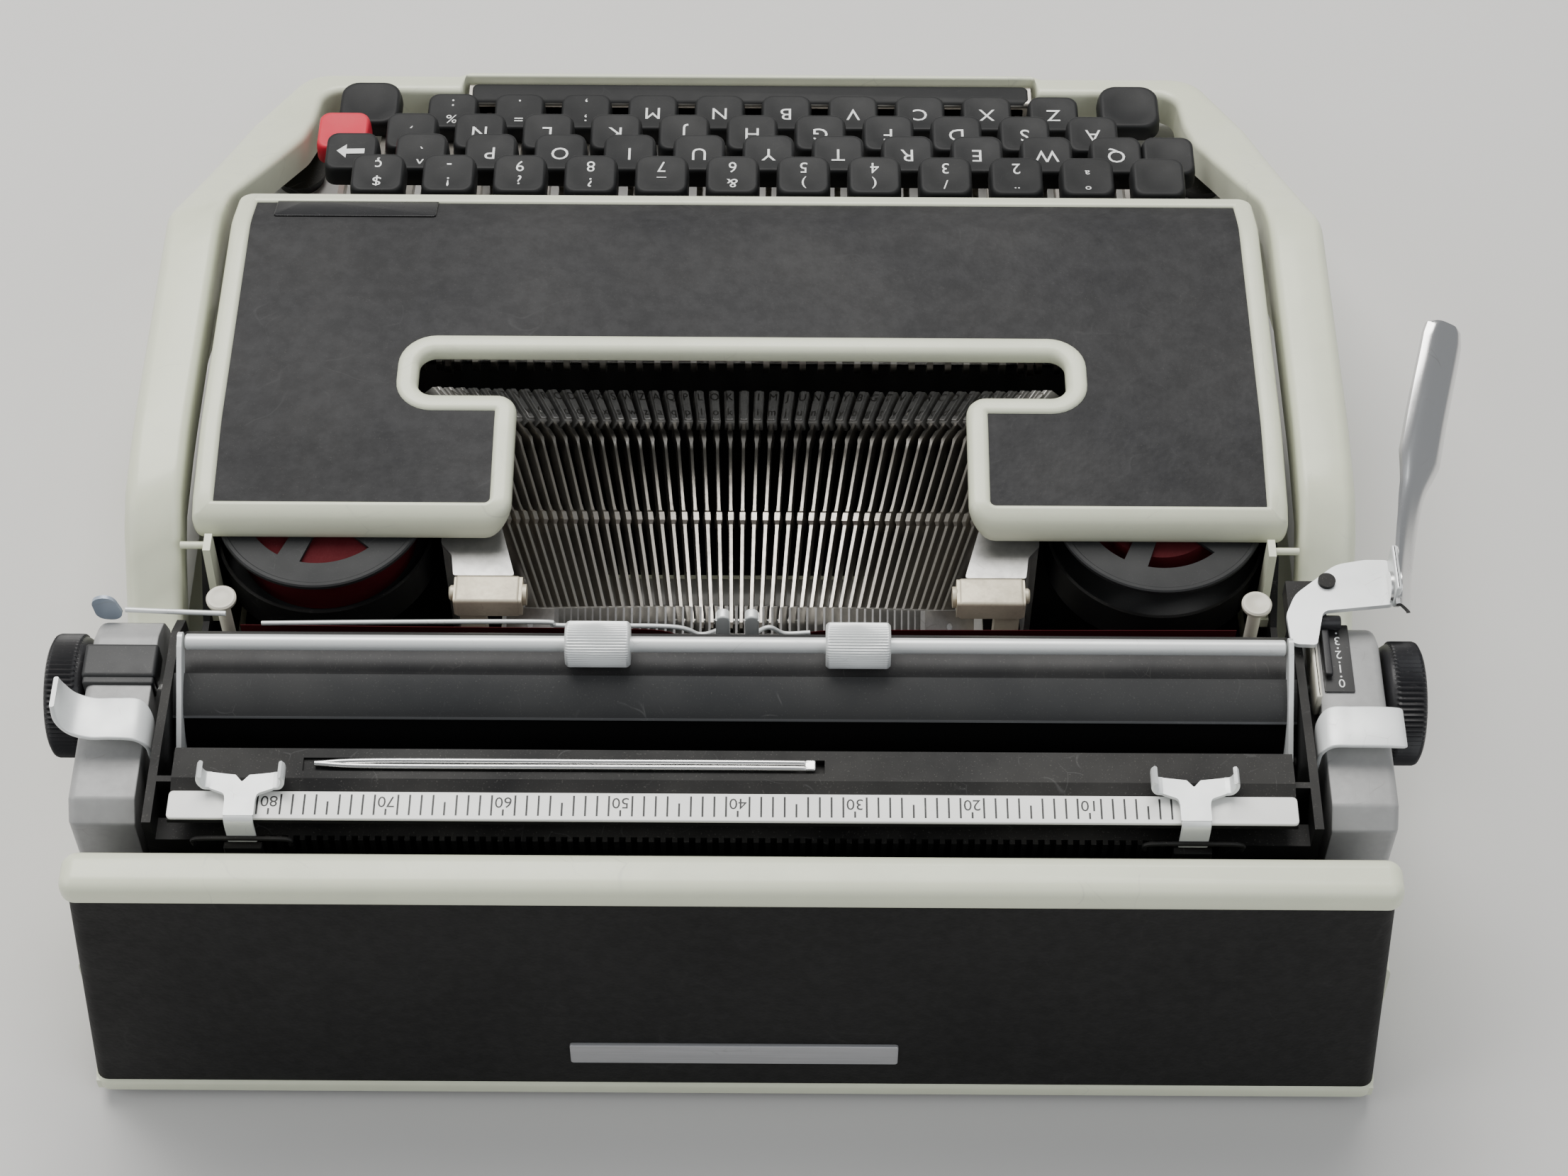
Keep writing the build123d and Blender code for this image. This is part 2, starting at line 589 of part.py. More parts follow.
def around_platen(radius0, radius1, angle0, angle1, x0, x1):
    """A curved strip about the platen's axis; angle 90 is straight up, 0 is to the rear."""
    steps = 16
    angles = [math.radians(angle0 + (angle1 - angle0) * n / steps) for n in range(steps + 1)]
    outer = [(platen_y + radius1 * math.cos(a), platen_z + radius1 * math.sin(a)) for a in angles]
    inner = [(platen_y + radius0 * math.cos(a), platen_z + radius0 * math.sin(a)) for a in angles]
    return across(outer + inner[::-1], x0, x1)


table_half = end_plate_x - 3.6
deflector = around_platen(platen_radius + 0.8, platen_radius + 1.8, -20, 74, -table_half, table_half)
feed_y, feed_z = platen_y, platen_z - platen_radius - feed_roller_radius - 0.3
feed_spots = (-75.0, 0.0, 75.0)
feed_half = 14.0
pan_radius = platen_radius + 7.0
table = across([
    (table_y, table_z), (table_y + 7.7, table_z), (scale_front_y, table_z - 1.2),
    (scale_front_y + scale_depth, table_z - 1.2), (scale_front_y + scale_depth, table_z - 2.4),
    (table_y + 7.0, table_z - 2.4), (table_y + 1.2, table_z - 3.0),
    (platen_y + pan_radius + 1.2, platen_z), (platen_y + pan_radius, platen_z)],
    -table_half, table_half)
table += around_platen(pan_radius, pan_radius + 1.2, -125, 1, -table_half, table_half)
for x in feed_spots:
    table -= block(x - feed_half - 2, x + feed_half + 2, feed_y - 7, feed_y + 7, 40, feed_z + 3)
table -= block(-19, 94, support_y0 - 0.4, support_y1 + 0.4, table_z - 0.6, table_z + 1)
table -= block(support_hinge_x - 3.2, support_hinge_x + 3.2, support_y0 - 0.4, support_y1 + 0.4,
               table_z - 1.8, table_z + 1)
hanger = block(table_half - 6, end_plate_x, 126.0, 127.5, 66.0, table_z - 2.0)
table += hanger + mirror(hanger, about=Plane.YZ)
save("paper_table", table)
deflector_tab = block(table_half - 1, end_plate_x, platen_y + platen_radius + 0.9,
                      platen_y + platen_radius + 1.7, 62, 67)
save("paper_deflector", deflector + deflector_tab + mirror(deflector_tab, about=Plane.YZ))

scale_plate = block(-scale_half_length, scale_half_length, scale_front_y, scale_front_y + scale_depth,
                    table_z - 1.2, table_z - 0.4)
save("margin_scale", scale_plate)
rail_z0, rail_z1 = 74.0, 79.0
rail_front_y, rail_rear_y = 132.5, 138.0
margin_rail = block(-end_plate_x, end_plate_x, rail_front_y, rail_rear_y, rail_z0, rail_z1)
tooth_pitch = 2.54
tooth_count = 84
for n in range(tooth_count):
    tooth_x = (n - (tooth_count - 1) / 2) * tooth_pitch
    margin_rail -= block(tooth_x - 0.7, tooth_x + 0.7, rail_rear_y - 1.2, rail_rear_y + 1, 70, 80)
save("margin_rail", margin_rail)


def margin_stop(x):
    """A finger piece over the scale with a clip behind it that hangs on the toothed rail."""
    top_z = table_z + 0.6
    rear = max(rail_rear_y, scale_front_y + scale_depth) + 0.4
    piece = block(x - 3.4, x + 3.4, 128.6, rear + 1, top_z, top_z + 1)
    piece += block(x - 7.2, x + 7.2, 127.6, 132.6, top_z, top_z + 1)
    for side in (-1, 1):
        wing = block(-0.5, 0.5, 127.6, 132.6, top_z, top_z + 4.2)
        piece += Pos(x + side * 7.2, 0, 0) * wing
    piece += block(x - 3.4, x + 3.4, rear, rear + 1, rail_z0 - 1, top_z + 1)
    piece += block(x - 9, x + 9, rear, rear + 1.6, rail_z0 - 1, rail_z1 + 1)
    return piece


save("margin_stop_right", margin_stop(106.5))
save("margin_stop_left", margin_stop(-100.0))

save("platen", Pos(0, platen_y, platen_z) * Rot(0, 90, 0)
     * (Cylinder(platen_radius, 2 * platen_half_length) - Cylinder(shaft_radius, 400)))
shaft_reach = end_cover_x + end_cover_width + knob_gap + 1.0
save("platen_shaft", rod((-shaft_reach, platen_y, platen_z), (shaft_reach, platen_y, platen_z),
                         shaft_radius))
knob_inner = end_cover_x + end_cover_width + knob_gap
knob = rod((knob_inner, platen_y, platen_z), (knob_inner + knob_width, platen_y, platen_z), knob_radius)
knob = fillet(knob.edges().group_by(Axis.X)[-1], 1.4)
knob -= rod((knob_inner - 1, platen_y, platen_z), (shaft_reach, platen_y, platen_z), shaft_radius)
save("platen_knobs", *both_sides(knob))
ratchet_teeth = 30
ratchet_x = -platen_half_length - 1.4
ratchet = rod((ratchet_x, platen_y, platen_z), (ratchet_x + 1.2, platen_y, platen_z), 13.0)
for n in range(ratchet_teeth):
    a = 2 * math.pi * n / ratchet_teeth
    ratchet -= rod((ratchet_x - 1, platen_y + 13.4 * math.cos(a), platen_z + 13.4 * math.sin(a)),
                   (ratchet_x + 3, platen_y + 13.4 * math.cos(a), platen_z + 13.4 * math.sin(a)), 0.9)
ratchet -= rod((ratchet_x - 1, platen_y, platen_z), (ratchet_x + 3, platen_y, platen_z), shaft_radius)
save("ratchet_wheel", ratchet)

feed_shaft_radius = 1.5
feed = rod((-end_inner, feed_y, feed_z), (end_inner, feed_y, feed_z), feed_shaft_radius)
for x in feed_spots:
    feed += rod((x - feed_half, feed_y, feed_z), (x + feed_half, feed_y, feed_z), feed_roller_radius)
feed_hanger = across([
    (feed_y - 5, feed_z - 4), (feed_y + 6, feed_z - 4), (feed_y + 12, 56), (feed_y - 5, 60)],
    end_plate_x, end_inner)
feed_hanger_bore = rod((-160, feed_y, feed_z), (160, feed_y, feed_z), feed_shaft_radius + shaft_gap)
carriage_body = carriage_body + feed_hanger + mirror(feed_hanger, about=Plane.YZ)
bail_pin_radius = 1.5
bail_pin = rod((end_plate_x - 3.2, bail_pivot_y, bail_pivot_z),
               (end_plate_x, bail_pivot_y, bail_pivot_z), bail_pin_radius)
carriage_body = carriage_body - feed_hanger_bore + bail_pin + mirror(bail_pin, about=Plane.YZ)
save("carriage_frame", carriage_body)
save("feed_rollers", feed)

arm_x, arm_thickness = end_plate_x - 2.4, 1.2
arm_run, arm_rise = bail_pivot_y - bail_y, bail_pivot_z - bail_z
arm_length = math.hypot(arm_run, arm_rise)
normal_y, normal_z = -arm_rise / arm_length * 2.0, arm_run / arm_length * 2.0
bail_arm = across([
    (bail_y + normal_y, bail_z + normal_z), (bail_pivot_y + normal_y * 1.4, bail_pivot_z + normal_z * 1.4),
    (bail_pivot_y - normal_y * 1.4, bail_pivot_z - normal_z * 1.4), (bail_y - normal_y, bail_z - normal_z)],
    arm_x, arm_x + arm_thickness)
bail_arm += rod((arm_x, bail_pivot_y, bail_pivot_z), (arm_x + arm_thickness, bail_pivot_y, bail_pivot_z), 3)
bail_arm -= rod((arm_x - 1, bail_pivot_y, bail_pivot_z), (arm_x + 3, bail_pivot_y, bail_pivot_z),
                bail_pin_radius + shaft_gap)
bail = rod((-arm_x - arm_thickness, bail_y, bail_z), (arm_x + arm_thickness, bail_y, bail_z), bail_rod_radius)
save("bail_frame", bail + bail_arm + mirror(bail_arm, about=Plane.YZ))
save("bail_rollers", *[
    rod((x - bail_roller_length / 2, bail_y, bail_z), (x + bail_roller_length / 2, bail_y, bail_z),
        bail_roller_radius)
    - rod((x - 20, bail_y, bail_z), (x + 20, bail_y, bail_z), bail_rod_radius + shaft_gap)
    for x in bail_roller_x
])

# ---------------------------------------------------------------- levers and fittings of the carriage
bracket_z0 = end_cover_top_z + 4.2
bracket_thickness = 1.5
bracket_plan = face_of([
    (-149, 67), (-143, 67), (-137, 68), (-130, 73), (-125.8, 82), (-125.8, 90), (-131, 90),
    (-133, 80.5), (-149, 78)])
lever_bracket = raised(bracket_plan, bracket_z0, bracket_z0 + bracket_thickness)
lever_bracket -= rod((lever_pivot_x, lever_pivot_y, 70), (lever_pivot_x, lever_pivot_y, 99), 2 + shaft_gap)
lever_bracket += block(-150.2, -148.6, 67, 76.2, bracket_z0, bracket_z0 + 8)
save("lever_bracket", lever_bracket)
blade_half_height, blade_half_thickness = 3.5, 0.9
blade_tip_x = -lever_reach + blade_half_thickness
blade_path = [(-151.4, 80, 88), (-153.5, 66, 91), (-158.5, 46, 98), (-162.8, 28, 103.5),
              (blade_tip_x, 15, 108)]
side_view = [(y, z - blade_half_height) for x, y, z in blade_path]
side_view += [(y, z + blade_half_height) for x, y, z in reversed(blade_path)]
top_view = [(x - blade_half_thickness, y) for x, y, z in blade_path]
top_view += [(x + blade_half_thickness, y) for x, y, z in reversed(blade_path)]
blade = across(side_view, -lever_reach - 2, -lever_reach + 25) & raised(face_of(top_view), 70, 130)
blade += rod((-152.4, 72, 90), (-150.2, 72, 90), 4)
save("return_lever", blade)

selector = block(-134.4, -132.6, 78.5, 96.0, 83.0, 84.2)
selector += rod((-134.4, 82, 84.0), (-139, 82, 84.0), 1.2)
save("line_space_selector", selector)

release_x = end_inner + 0.8
release = block(release_x, release_x + 1.0, 113, 118, 76, 85.5)
release += block(release_x, 147.5, 106, 118, 84.5, 85.5)
release += across([(104.0, 85.5), (118, 84.5), (118, 85.5), (106, 85.5)], 146.5, 147.5)
save("paper_release_lever", release)
carriage_release = block(-147.0, -release_x, 106, 117, 84.5, 85.5)
carriage_release += block(-release_x - 1.0, -release_x, 112, 117, 76, 85.5)
save("carriage_release_lever", carriage_release)
wire = rod((support_hinge_x, support_y0 + 0.6, table_z + 0.2),
           (support_tip_x, support_y0 + 0.6, table_z + 0.2), 0.5)
wire += rod((support_hinge_x, support_y1 - 0.6, table_z + 0.2),
            (support_tip_x, support_y1 - 0.6, table_z + 0.2), 0.5)
wire += block(support_hinge_x - 1.25, support_hinge_x + 1.25, support_y0, support_y1,
              table_z - 0.4, table_z + 0.8)
save("paper_support", wire)

drum = Pos(drum_x, drum_y, 0) * raised(Circle(drum_radius), 14, 28)
drum -= rod((drum_x, drum_y, 5), (drum_x, drum_y, 40), 3 + shaft_gap)
save("mainspring_drum", drum)
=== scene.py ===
import math

import bpy
import numpy as np
from mathutils import Matrix, Vector, geometry


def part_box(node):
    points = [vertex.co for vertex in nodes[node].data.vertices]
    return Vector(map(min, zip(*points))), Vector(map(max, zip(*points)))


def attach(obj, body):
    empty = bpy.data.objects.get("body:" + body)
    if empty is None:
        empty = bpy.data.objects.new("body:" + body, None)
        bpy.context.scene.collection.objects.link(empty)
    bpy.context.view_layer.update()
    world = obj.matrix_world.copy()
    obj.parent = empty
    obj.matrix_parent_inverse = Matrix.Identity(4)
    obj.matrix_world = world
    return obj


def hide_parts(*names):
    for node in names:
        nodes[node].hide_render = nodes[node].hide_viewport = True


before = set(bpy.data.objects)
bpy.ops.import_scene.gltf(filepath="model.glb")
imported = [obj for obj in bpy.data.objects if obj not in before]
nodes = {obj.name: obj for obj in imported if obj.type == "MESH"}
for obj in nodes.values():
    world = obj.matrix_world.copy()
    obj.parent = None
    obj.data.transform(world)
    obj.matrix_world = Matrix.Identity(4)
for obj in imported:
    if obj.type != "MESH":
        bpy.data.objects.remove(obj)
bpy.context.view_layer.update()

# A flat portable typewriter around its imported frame. Pieces are worked out in millimetres about the
# casing's centre plane and put into the frame in metres. +X is the typist's right, -Y the keyboard.
MM = 0.001


def corners(node):
    """A node's lowest and highest corners in millimetres, about the casing's centre plane."""
    low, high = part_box(node)
    return np.array(low) / MM - middle, np.array(high) / MM - middle


middle = np.zeros(3)
platen_low, platen_high = corners("platen")
middle = np.array([(platen_low[0] + platen_high[0]) / 2, 0.0, 0.0])


# ---------------------------------------------------------------- materials
def group(name, inputs, outputs, build):
    """A shader node group with named sockets; build(tree, inlet, outlet) wires it."""
    tree = bpy.data.node_groups.new(name, "ShaderNodeTree")
    for title, value in inputs:
        socket = tree.interface.new_socket(title, in_out="INPUT", socket_type="NodeSocketFloat")
        socket.default_value = value
    for title in outputs:
        tree.interface.new_socket(title, in_out="OUTPUT", socket_type="NodeSocketFloat")
    inlet = tree.nodes.new("NodeGroupInput")
    outlet = tree.nodes.new("NodeGroupOutput")
    build(tree, inlet.outputs, outlet.inputs)
    return tree


def add(tree, kind, **settings):
    """A node with its settings; a setting that is a socket is linked, any other is set on its socket."""
    node = tree.nodes.new(kind)
    for title, value in settings.items():
        if hasattr(node, title):
            setattr(node, title, value)
            continue
        key = int(title[-1]) if title[-1].isdigit() else title.replace("_", " ")
        socket = node.inputs[key]
        if isinstance(value, bpy.types.NodeSocket):
            tree.links.new(value, socket)
        else:
            socket.default_value = value
    return node


def maths(tree, operation, a, b=0.0, clamp=False):
    """One arithmetic node; a and b are sockets or numbers."""
    return add(tree, "ShaderNodeMath", operation=operation, use_clamp=clamp, in0=a, in1=b).outputs[0]


def band(tree, value, low, high):
    """0 below low, 1 above high, and straight between."""
    node = add(tree, "ShaderNodeMapRange", clamp=True, Value=value, From_Min=low, From_Max=high)
    return node.outputs[0]


def noise(tree, coords, scale, detail=4.0, rough=0.55):
    """The value of a noise texture at a scale per metre."""
    return add(tree, "ShaderNodeTexNoise", Vector=coords, Scale=scale, Detail=detail,
               Roughness=rough).outputs[0]


def object_coords(tree):
    """Object coordinates, which ride with the piece."""
    return tree.nodes.new("ShaderNodeTexCoord").outputs["Object"]


def build_grime(tree, given, result):
    """Soft, uneven patches: two noises multiplied."""
    coords = object_coords(tree)
    broad = noise(tree, coords, given["Scale"])
    fine = noise(tree, coords, maths(tree, "MULTIPLY", given["Scale"], 9.0))
    both = maths(tree, "ADD", maths(tree, "MULTIPLY", broad, 0.7), maths(tree, "MULTIPLY", fine, 0.3))
    tree.links.new(band(tree, both, 0.42, 0.68), result["Mask"])


def build_scuffs(tree, given, result):
    """Short rubbed marks where a fine noise and a broad one are both high; on the type metal they also paint
    glints.
    """
    coords = object_coords(tree)
    bend = add(tree, "ShaderNodeTexNoise", Vector=coords, Scale=40.0, Detail=2.0).outputs[1]
    warped = add(tree, "ShaderNodeMix", data_type="VECTOR", Factor=0.03)
    tree.links.new(coords, warped.inputs[4])
    tree.links.new(bend, warped.inputs[5])
    lines = add(tree, "ShaderNodeTexVoronoi", feature="DISTANCE_TO_EDGE", Vector=warped.outputs[1],
                Scale=given["Scale"]).outputs[0]
    thin = maths(tree, "SUBTRACT", 1.0, band(tree, lines, 0.0, 0.02))
    patch = band(tree, noise(tree, coords, maths(tree, "MULTIPLY", given["Scale"], 0.9)), 0.56, 0.66)
    specks = band(tree, noise(tree, coords, maths(tree, "MULTIPLY", given["Scale"], 22.0), 2.0), 0.7, 0.76)
    marks = maths(tree, "ADD", maths(tree, "MULTIPLY", thin, patch), maths(tree, "MULTIPLY", specks, 0.5),
                  True)
    tree.links.new(marks, result["Mask"])


def build_dust(tree, given, result):
    """A film that settles on faces that look upwards."""
    coords = object_coords(tree)
    normal = add(tree, "ShaderNodeSeparateXYZ",
                 Vector=tree.nodes.new("ShaderNodeNewGeometry").outputs["Normal"])
    facing = band(tree, normal.outputs[2], 0.3, 1.0)
    patches = band(tree, noise(tree, coords, given["Scale"]), 0.35, 0.75)
    specks = band(tree, noise(tree, coords, 2600.0, 1.0), 0.66, 0.74)
    film = maths(tree, "ADD", maths(tree, "MULTIPLY", patches, 0.55), maths(tree, "MULTIPLY", specks, 0.8))
    tree.links.new(maths(tree, "MULTIPLY", facing, film, True), result["Mask"])


def build_leather(tree, given, result):
    """A pebbled grain: cells of a Voronoi texture, loosened by noise."""
    coords = object_coords(tree)
    cells = add(tree, "ShaderNodeTexVoronoi", feature="SMOOTH_F1", Vector=coords, Scale=given["Scale"],
                Smoothness=0.6).outputs[0]
    wrinkles = noise(tree, coords, maths(tree, "MULTIPLY", given["Scale"], 0.35), 6.0, 0.65)
    height = maths(tree, "ADD", maths(tree, "MULTIPLY", cells, 0.6), wrinkles)
    tree.links.new(height, result["Height"])
    tree.links.new(band(tree, wrinkles, 0.4, 0.62), result["Mask"])


def build_brushed(tree, given, result):
    """Fine lines: noise stretched along one axis."""
    spread = add(tree, "ShaderNodeCombineXYZ", X=given["Along X"], Y=given["Along Y"], Z=given["Along Z"])
    stretched = add(tree, "ShaderNodeVectorMath", operation="MULTIPLY")
    tree.links.new(object_coords(tree), stretched.inputs[0])
    tree.links.new(spread.outputs[0], stretched.inputs[1])
    streaks = noise(tree, stretched.outputs[0], 1.0, 5.0, 0.7)
    tree.links.new(streaks, result["Height"])
    tree.links.new(band(tree, streaks, 0.35, 0.7), result["Mask"])


def build_orange_peel(tree, given, result):
    """The slight unevenness of sprayed paint and moulded plastic."""
    height = noise(tree, object_coords(tree), given["Scale"], 2.0)
    tree.links.new(height, result["Height"])
    tree.links.new(height, result["Mask"])


GRIME = group("grime", [("Scale", 18.0)], ["Mask"], build_grime)
SCUFFS = group("scuffs", [("Scale", 60.0)], ["Mask"], build_scuffs)
DUST = group("dust", [("Scale", 30.0)], ["Mask"], build_dust)
GRAINS = {
    "leather": group("leather_grain", [("Scale", 700.0)], ["Height", "Mask"], build_leather),
    "brushed": group("brushed_lines", [("Along X", 60.0), ("Along Y", 3000.0), ("Along Z", 3000.0)],
                     ["Height", "Mask"], build_brushed),
    "peel": group("orange_peel", [("Scale", 900.0)], ["Height", "Mask"], build_orange_peel),
}


def placed(tree, kind, **values):
    """A shared group put into a material, its inputs set, as a dictionary of its outputs."""
    node = tree.nodes.new("ShaderNodeGroup")
    node.node_tree = kind
    for title, value in values.items():
        node.inputs[title.replace("_", " ")].default_value = value
    return node.outputs


def tinted(tree, mask, strength, below, above):
    """Mixes a colour over another by a mask times a strength."""
    mix = add(tree, "ShaderNodeMix", data_type="RGBA")
    tree.links.new(maths(tree, "MULTIPLY", mask, strength), mix.inputs[0])
    for socket, colour in ((mix.inputs[6], below), (mix.inputs[7], above)):
        if isinstance(colour, bpy.types.NodeSocket):
            tree.links.new(colour, socket)
        else:
            socket.default_value = (*colour, 1.0)
    return mix.outputs[2]


def finish(name, colour, rough, metallic=0.0, coat=0.0, shade=(0.6, 0.3), scuff_and_glint=(0.3, (0.3, 0.3, 0.3)),
           scuff_and_glint_scale=60.0, dust=0.1, grain="peel", grain_values=None, depth=0.05, grain_tint=0.0,
           grime_scale=18.0, specular=0.5):
    """A surface: colour, patches of grime, scuffs (on the type metal also painted glints), a film of dust and
    a grain that also gives the bump.
    """
    material = bpy.data.materials.new(name)
    material.use_nodes = True
    tree = material.node_tree
    shader = tree.nodes["Principled BSDF"]
    shader.inputs["Metallic"].default_value = metallic
    shader.inputs["Coat Weight"].default_value = coat
    shader.inputs["Coat Roughness"].default_value = 0.12
    shader.inputs["Specular IOR Level"].default_value = specular
    grime = placed(tree, GRIME, Scale=grime_scale)["Mask"]
    marks = placed(tree, SCUFFS, Scale=scuff_and_glint_scale)["Mask"]
    film = placed(tree, DUST)["Mask"]
    surface = placed(tree, GRAINS[grain], **(grain_values or {}))
    darker = tuple(c * shade[0] for c in colour)
    tone = tinted(tree, grime, shade[1], colour, darker)
    if grain_tint:
        tone = tinted(tree, surface["Mask"], grain_tint, tone,
                      tuple(min(1.0, c * 1.6 + 0.01) for c in colour))
    tone = tinted(tree, marks, scuff_and_glint[0], tone, scuff_and_glint[1])
    tone = tinted(tree, film, dust, tone, (0.42, 0.40, 0.36))
    tree.links.new(tone, shader.inputs["Base Color"])
    lift = maths(tree, "ADD", maths(tree, "MULTIPLY", grime, 0.12),
                 maths(tree, "MULTIPLY", film, 0.25 * dust))
    tree.links.new(maths(tree, "ADD", lift, rough, True), shader.inputs["Roughness"])
    bump = add(tree, "ShaderNodeBump", Strength=1.0, Distance=depth * MM, Height=surface["Height"])
    tree.links.new(bump.outputs[0], shader.inputs["Normal"])
    return material


ENAMEL = (0.71, 0.735, 0.565)
WORN_GREY = (0.33, 0.33, 0.325)
casing_paint = finish("casing_paint", ENAMEL, 0.34, coat=0.15, shade=(0.86, 0.5),
                      scuff_and_glint=(0.25, (0.33, 0.33, 0.30)),
                      dust=0.06, depth=0.012)
carriage_paint = finish("carriage_paint", WORN_GREY, 0.38, shade=(0.7, 0.6), scuff_and_glint=(0.6, (0.2, 0.19, 0.18)),
                        scuff_and_glint_scale=140.0, grime_scale=60.0, dust=0.12, depth=0.015)
leatherette = finish("leatherette", (0.020, 0.020, 0.021), 0.62, specular=0.22, shade=(0.8, 0.4),
                     scuff_and_glint=(0.12, (0.10, 0.10, 0.10)),
                     dust=0.05, grain="leather", grain_values={"Scale": 700.0}, depth=0.14, grain_tint=0.35)
# A darker copy of the leatherette for the rear panel: painted shade on the face turned away from the key
# light.
shaded_rear_leatherette = finish("shaded_rear_leatherette", (0.009, 0.0088, 0.0085), 0.65, specular=0.2, shade=(0.8, 0.4),
                          scuff_and_glint=(0.1, (0.07, 0.07, 0.07)), dust=0.05, grain="leather",
                          grain_values={"Scale": 1100.0}, depth=0.09, grain_tint=0.3)
key_plastic = finish("key_plastic", (0.013, 0.0135, 0.014), 0.5, specular=0.22, shade=(0.8, 0.3),
                     scuff_and_glint=(0.12, (0.08, 0.08, 0.08)),
                     scuff_and_glint_scale=220.0, dust=0.03, depth=0.01)
red_plastic = finish("red_plastic", (0.62, 0.018, 0.045), 0.42, specular=0.3, shade=(0.85, 0.3),
                     scuff_and_glint=(0.15, (0.7, 0.2, 0.22)),
                     scuff_and_glint_scale=220.0, dust=0.05, depth=0.01)
legend_white = finish("legend_white", (0.78, 0.79, 0.77), 0.5, shade=(0.85, 0.4), dust=0.05, depth=0.005)
spool_plastic = finish("spool_plastic", (0.020, 0.021, 0.022), 0.5, specular=0.2, shade=(0.75, 0.4),
                       scuff_and_glint=(0.2, (0.08, 0.08, 0.08)),
                       scuff_and_glint_scale=150.0, dust=0.05, depth=0.01)
black_steel = finish("black_steel", (0.008, 0.008, 0.008), 0.5, specular=0.18, shade=(0.8, 0.4),
                     scuff_and_glint=(0.3, (0.10, 0.10, 0.10)),
                     scuff_and_glint_scale=120.0, dust=0.12, depth=0.01)
dark_steel = finish("dark_steel", (0.026, 0.027, 0.028), 0.45, specular=0.3, shade=(0.7, 0.4),
                    scuff_and_glint=(0.3, (0.14, 0.14, 0.14)),
                    scuff_and_glint_scale=90.0, dust=0.1, depth=0.01)
bright_steel = finish("bright_steel", (0.74, 0.74, 0.73), 0.2, metallic=1.0, shade=(0.7, 0.35),
                      scuff_and_glint=(0.3, (0.35, 0.33, 0.30)), scuff_and_glint_scale=180.0, dust=0.04, grain="brushed",
                      grain_values={"Along X": 80.0, "Along Y": 2400.0, "Along Z": 2400.0}, depth=0.006)
silver_paint = finish("silver_paint", (0.80, 0.82, 0.81), 0.38, metallic=0.35, shade=(0.75, 0.4),
                      scuff_and_glint=(0.35, (0.3, 0.29, 0.27)), scuff_and_glint_scale=160.0, dust=0.05, depth=0.008)
bar_steel = finish("bar_steel", (0.50, 0.47, 0.42), 0.3, metallic=1.0, shade=(0.45, 0.7),
                   scuff_and_glint=(0.3, (0.2, 0.17, 0.14)), scuff_and_glint_scale=200.0, grime_scale=70.0, dust=0.08,
                   grain="brushed",
                   grain_values={"Along X": 3000.0, "Along Y": 120.0, "Along Z": 500.0}, depth=0.008)
plate_steel = finish("plate_steel", (0.46, 0.455, 0.44), 0.4, metallic=0.9, shade=(0.6, 0.6),
                     scuff_and_glint=(0.4, (0.25, 0.22, 0.2)), scuff_and_glint_scale=120.0, grime_scale=60.0, dust=0.1,
                     grain="brushed",
                     grain_values={"Along X": 400.0, "Along Y": 400.0, "Along Z": 60.0}, depth=0.01,
                     grain_tint=0.3)
# On the type metal the bright marks, at strength 0.7, paint glints on the slugs as well as their wear.
type_metal = finish("type_metal", (0.36, 0.35, 0.33), 0.36, metallic=0.55, shade=(0.4, 0.7),
                    scuff_and_glint=(0.7, (0.5, 0.48, 0.44)), scuff_and_glint_scale=500.0, grime_scale=260.0, dust=0.05,
                    depth=0.05)
cream_brass = finish("cream_brass", (0.62, 0.56, 0.43), 0.45, metallic=0.35, shade=(0.6, 0.5),
                     scuff_and_glint=(0.5, (0.3, 0.24, 0.16)), scuff_and_glint_scale=260.0, grime_scale=120.0, dust=0.1,
                     depth=0.02)
platen_rubber = finish("platen_rubber", (0.018, 0.018, 0.019), 0.5, specular=0.3, shade=(0.8, 0.3),
                       scuff_and_glint=(0.35, (0.13, 0.12, 0.11)),
                       scuff_and_glint_scale=160.0, dust=0.12, grain="brushed",
                       grain_values={"Along X": 900.0, "Along Y": 200.0, "Along Z": 200.0}, depth=0.006,
                       grain_tint=0.12)
soft_rubber = finish("soft_rubber", (0.02, 0.02, 0.02), 0.65, shade=(0.8, 0.4), dust=0.2, depth=0.02)
knob_plastic = finish("knob_plastic", (0.013, 0.013, 0.015), 0.36, specular=0.3, shade=(0.8, 0.3),
                      scuff_and_glint=(0.2, (0.12, 0.12, 0.12)),
                      scuff_and_glint_scale=200.0, dust=0.1, depth=0.01)
scale_enamel = finish("scale_enamel", (0.88, 0.88, 0.84), 0.35, coat=0.2, shade=(0.8, 0.35),
                      scuff_and_glint=(0.15, (0.5, 0.5, 0.48)),
                      scuff_and_glint_scale=120.0, dust=0.05, depth=0.005)
black_ink = finish("black_ink", (0.012, 0.012, 0.012), 0.5, shade=(0.9, 0.2), dust=0.03, depth=0.003)
blank_plate = finish("blank_plate", (0.42, 0.42, 0.43), 0.42, metallic=0.6, shade=(0.8, 0.4),
                     scuff_and_glint=(0.3, (0.2, 0.2, 0.2)), scuff_and_glint_scale=160.0, dust=0.08, grain="brushed",
                     grain_values={"Along X": 40.0, "Along Y": 2600.0, "Along Z": 2600.0}, depth=0.008,
                     grain_tint=0.3)
# Near-black, barely reflecting finish: painted shade inside the machine and in the gap behind the roller.
painted_shade_black = finish("painted_shade_black", (0.003, 0.003, 0.003), 0.8, specular=0.05, shade=(0.9, 0.2),
                    scuff_and_glint=(0.05, (0.02, 0.02, 0.02)),
                    dust=0.01, depth=0.004)
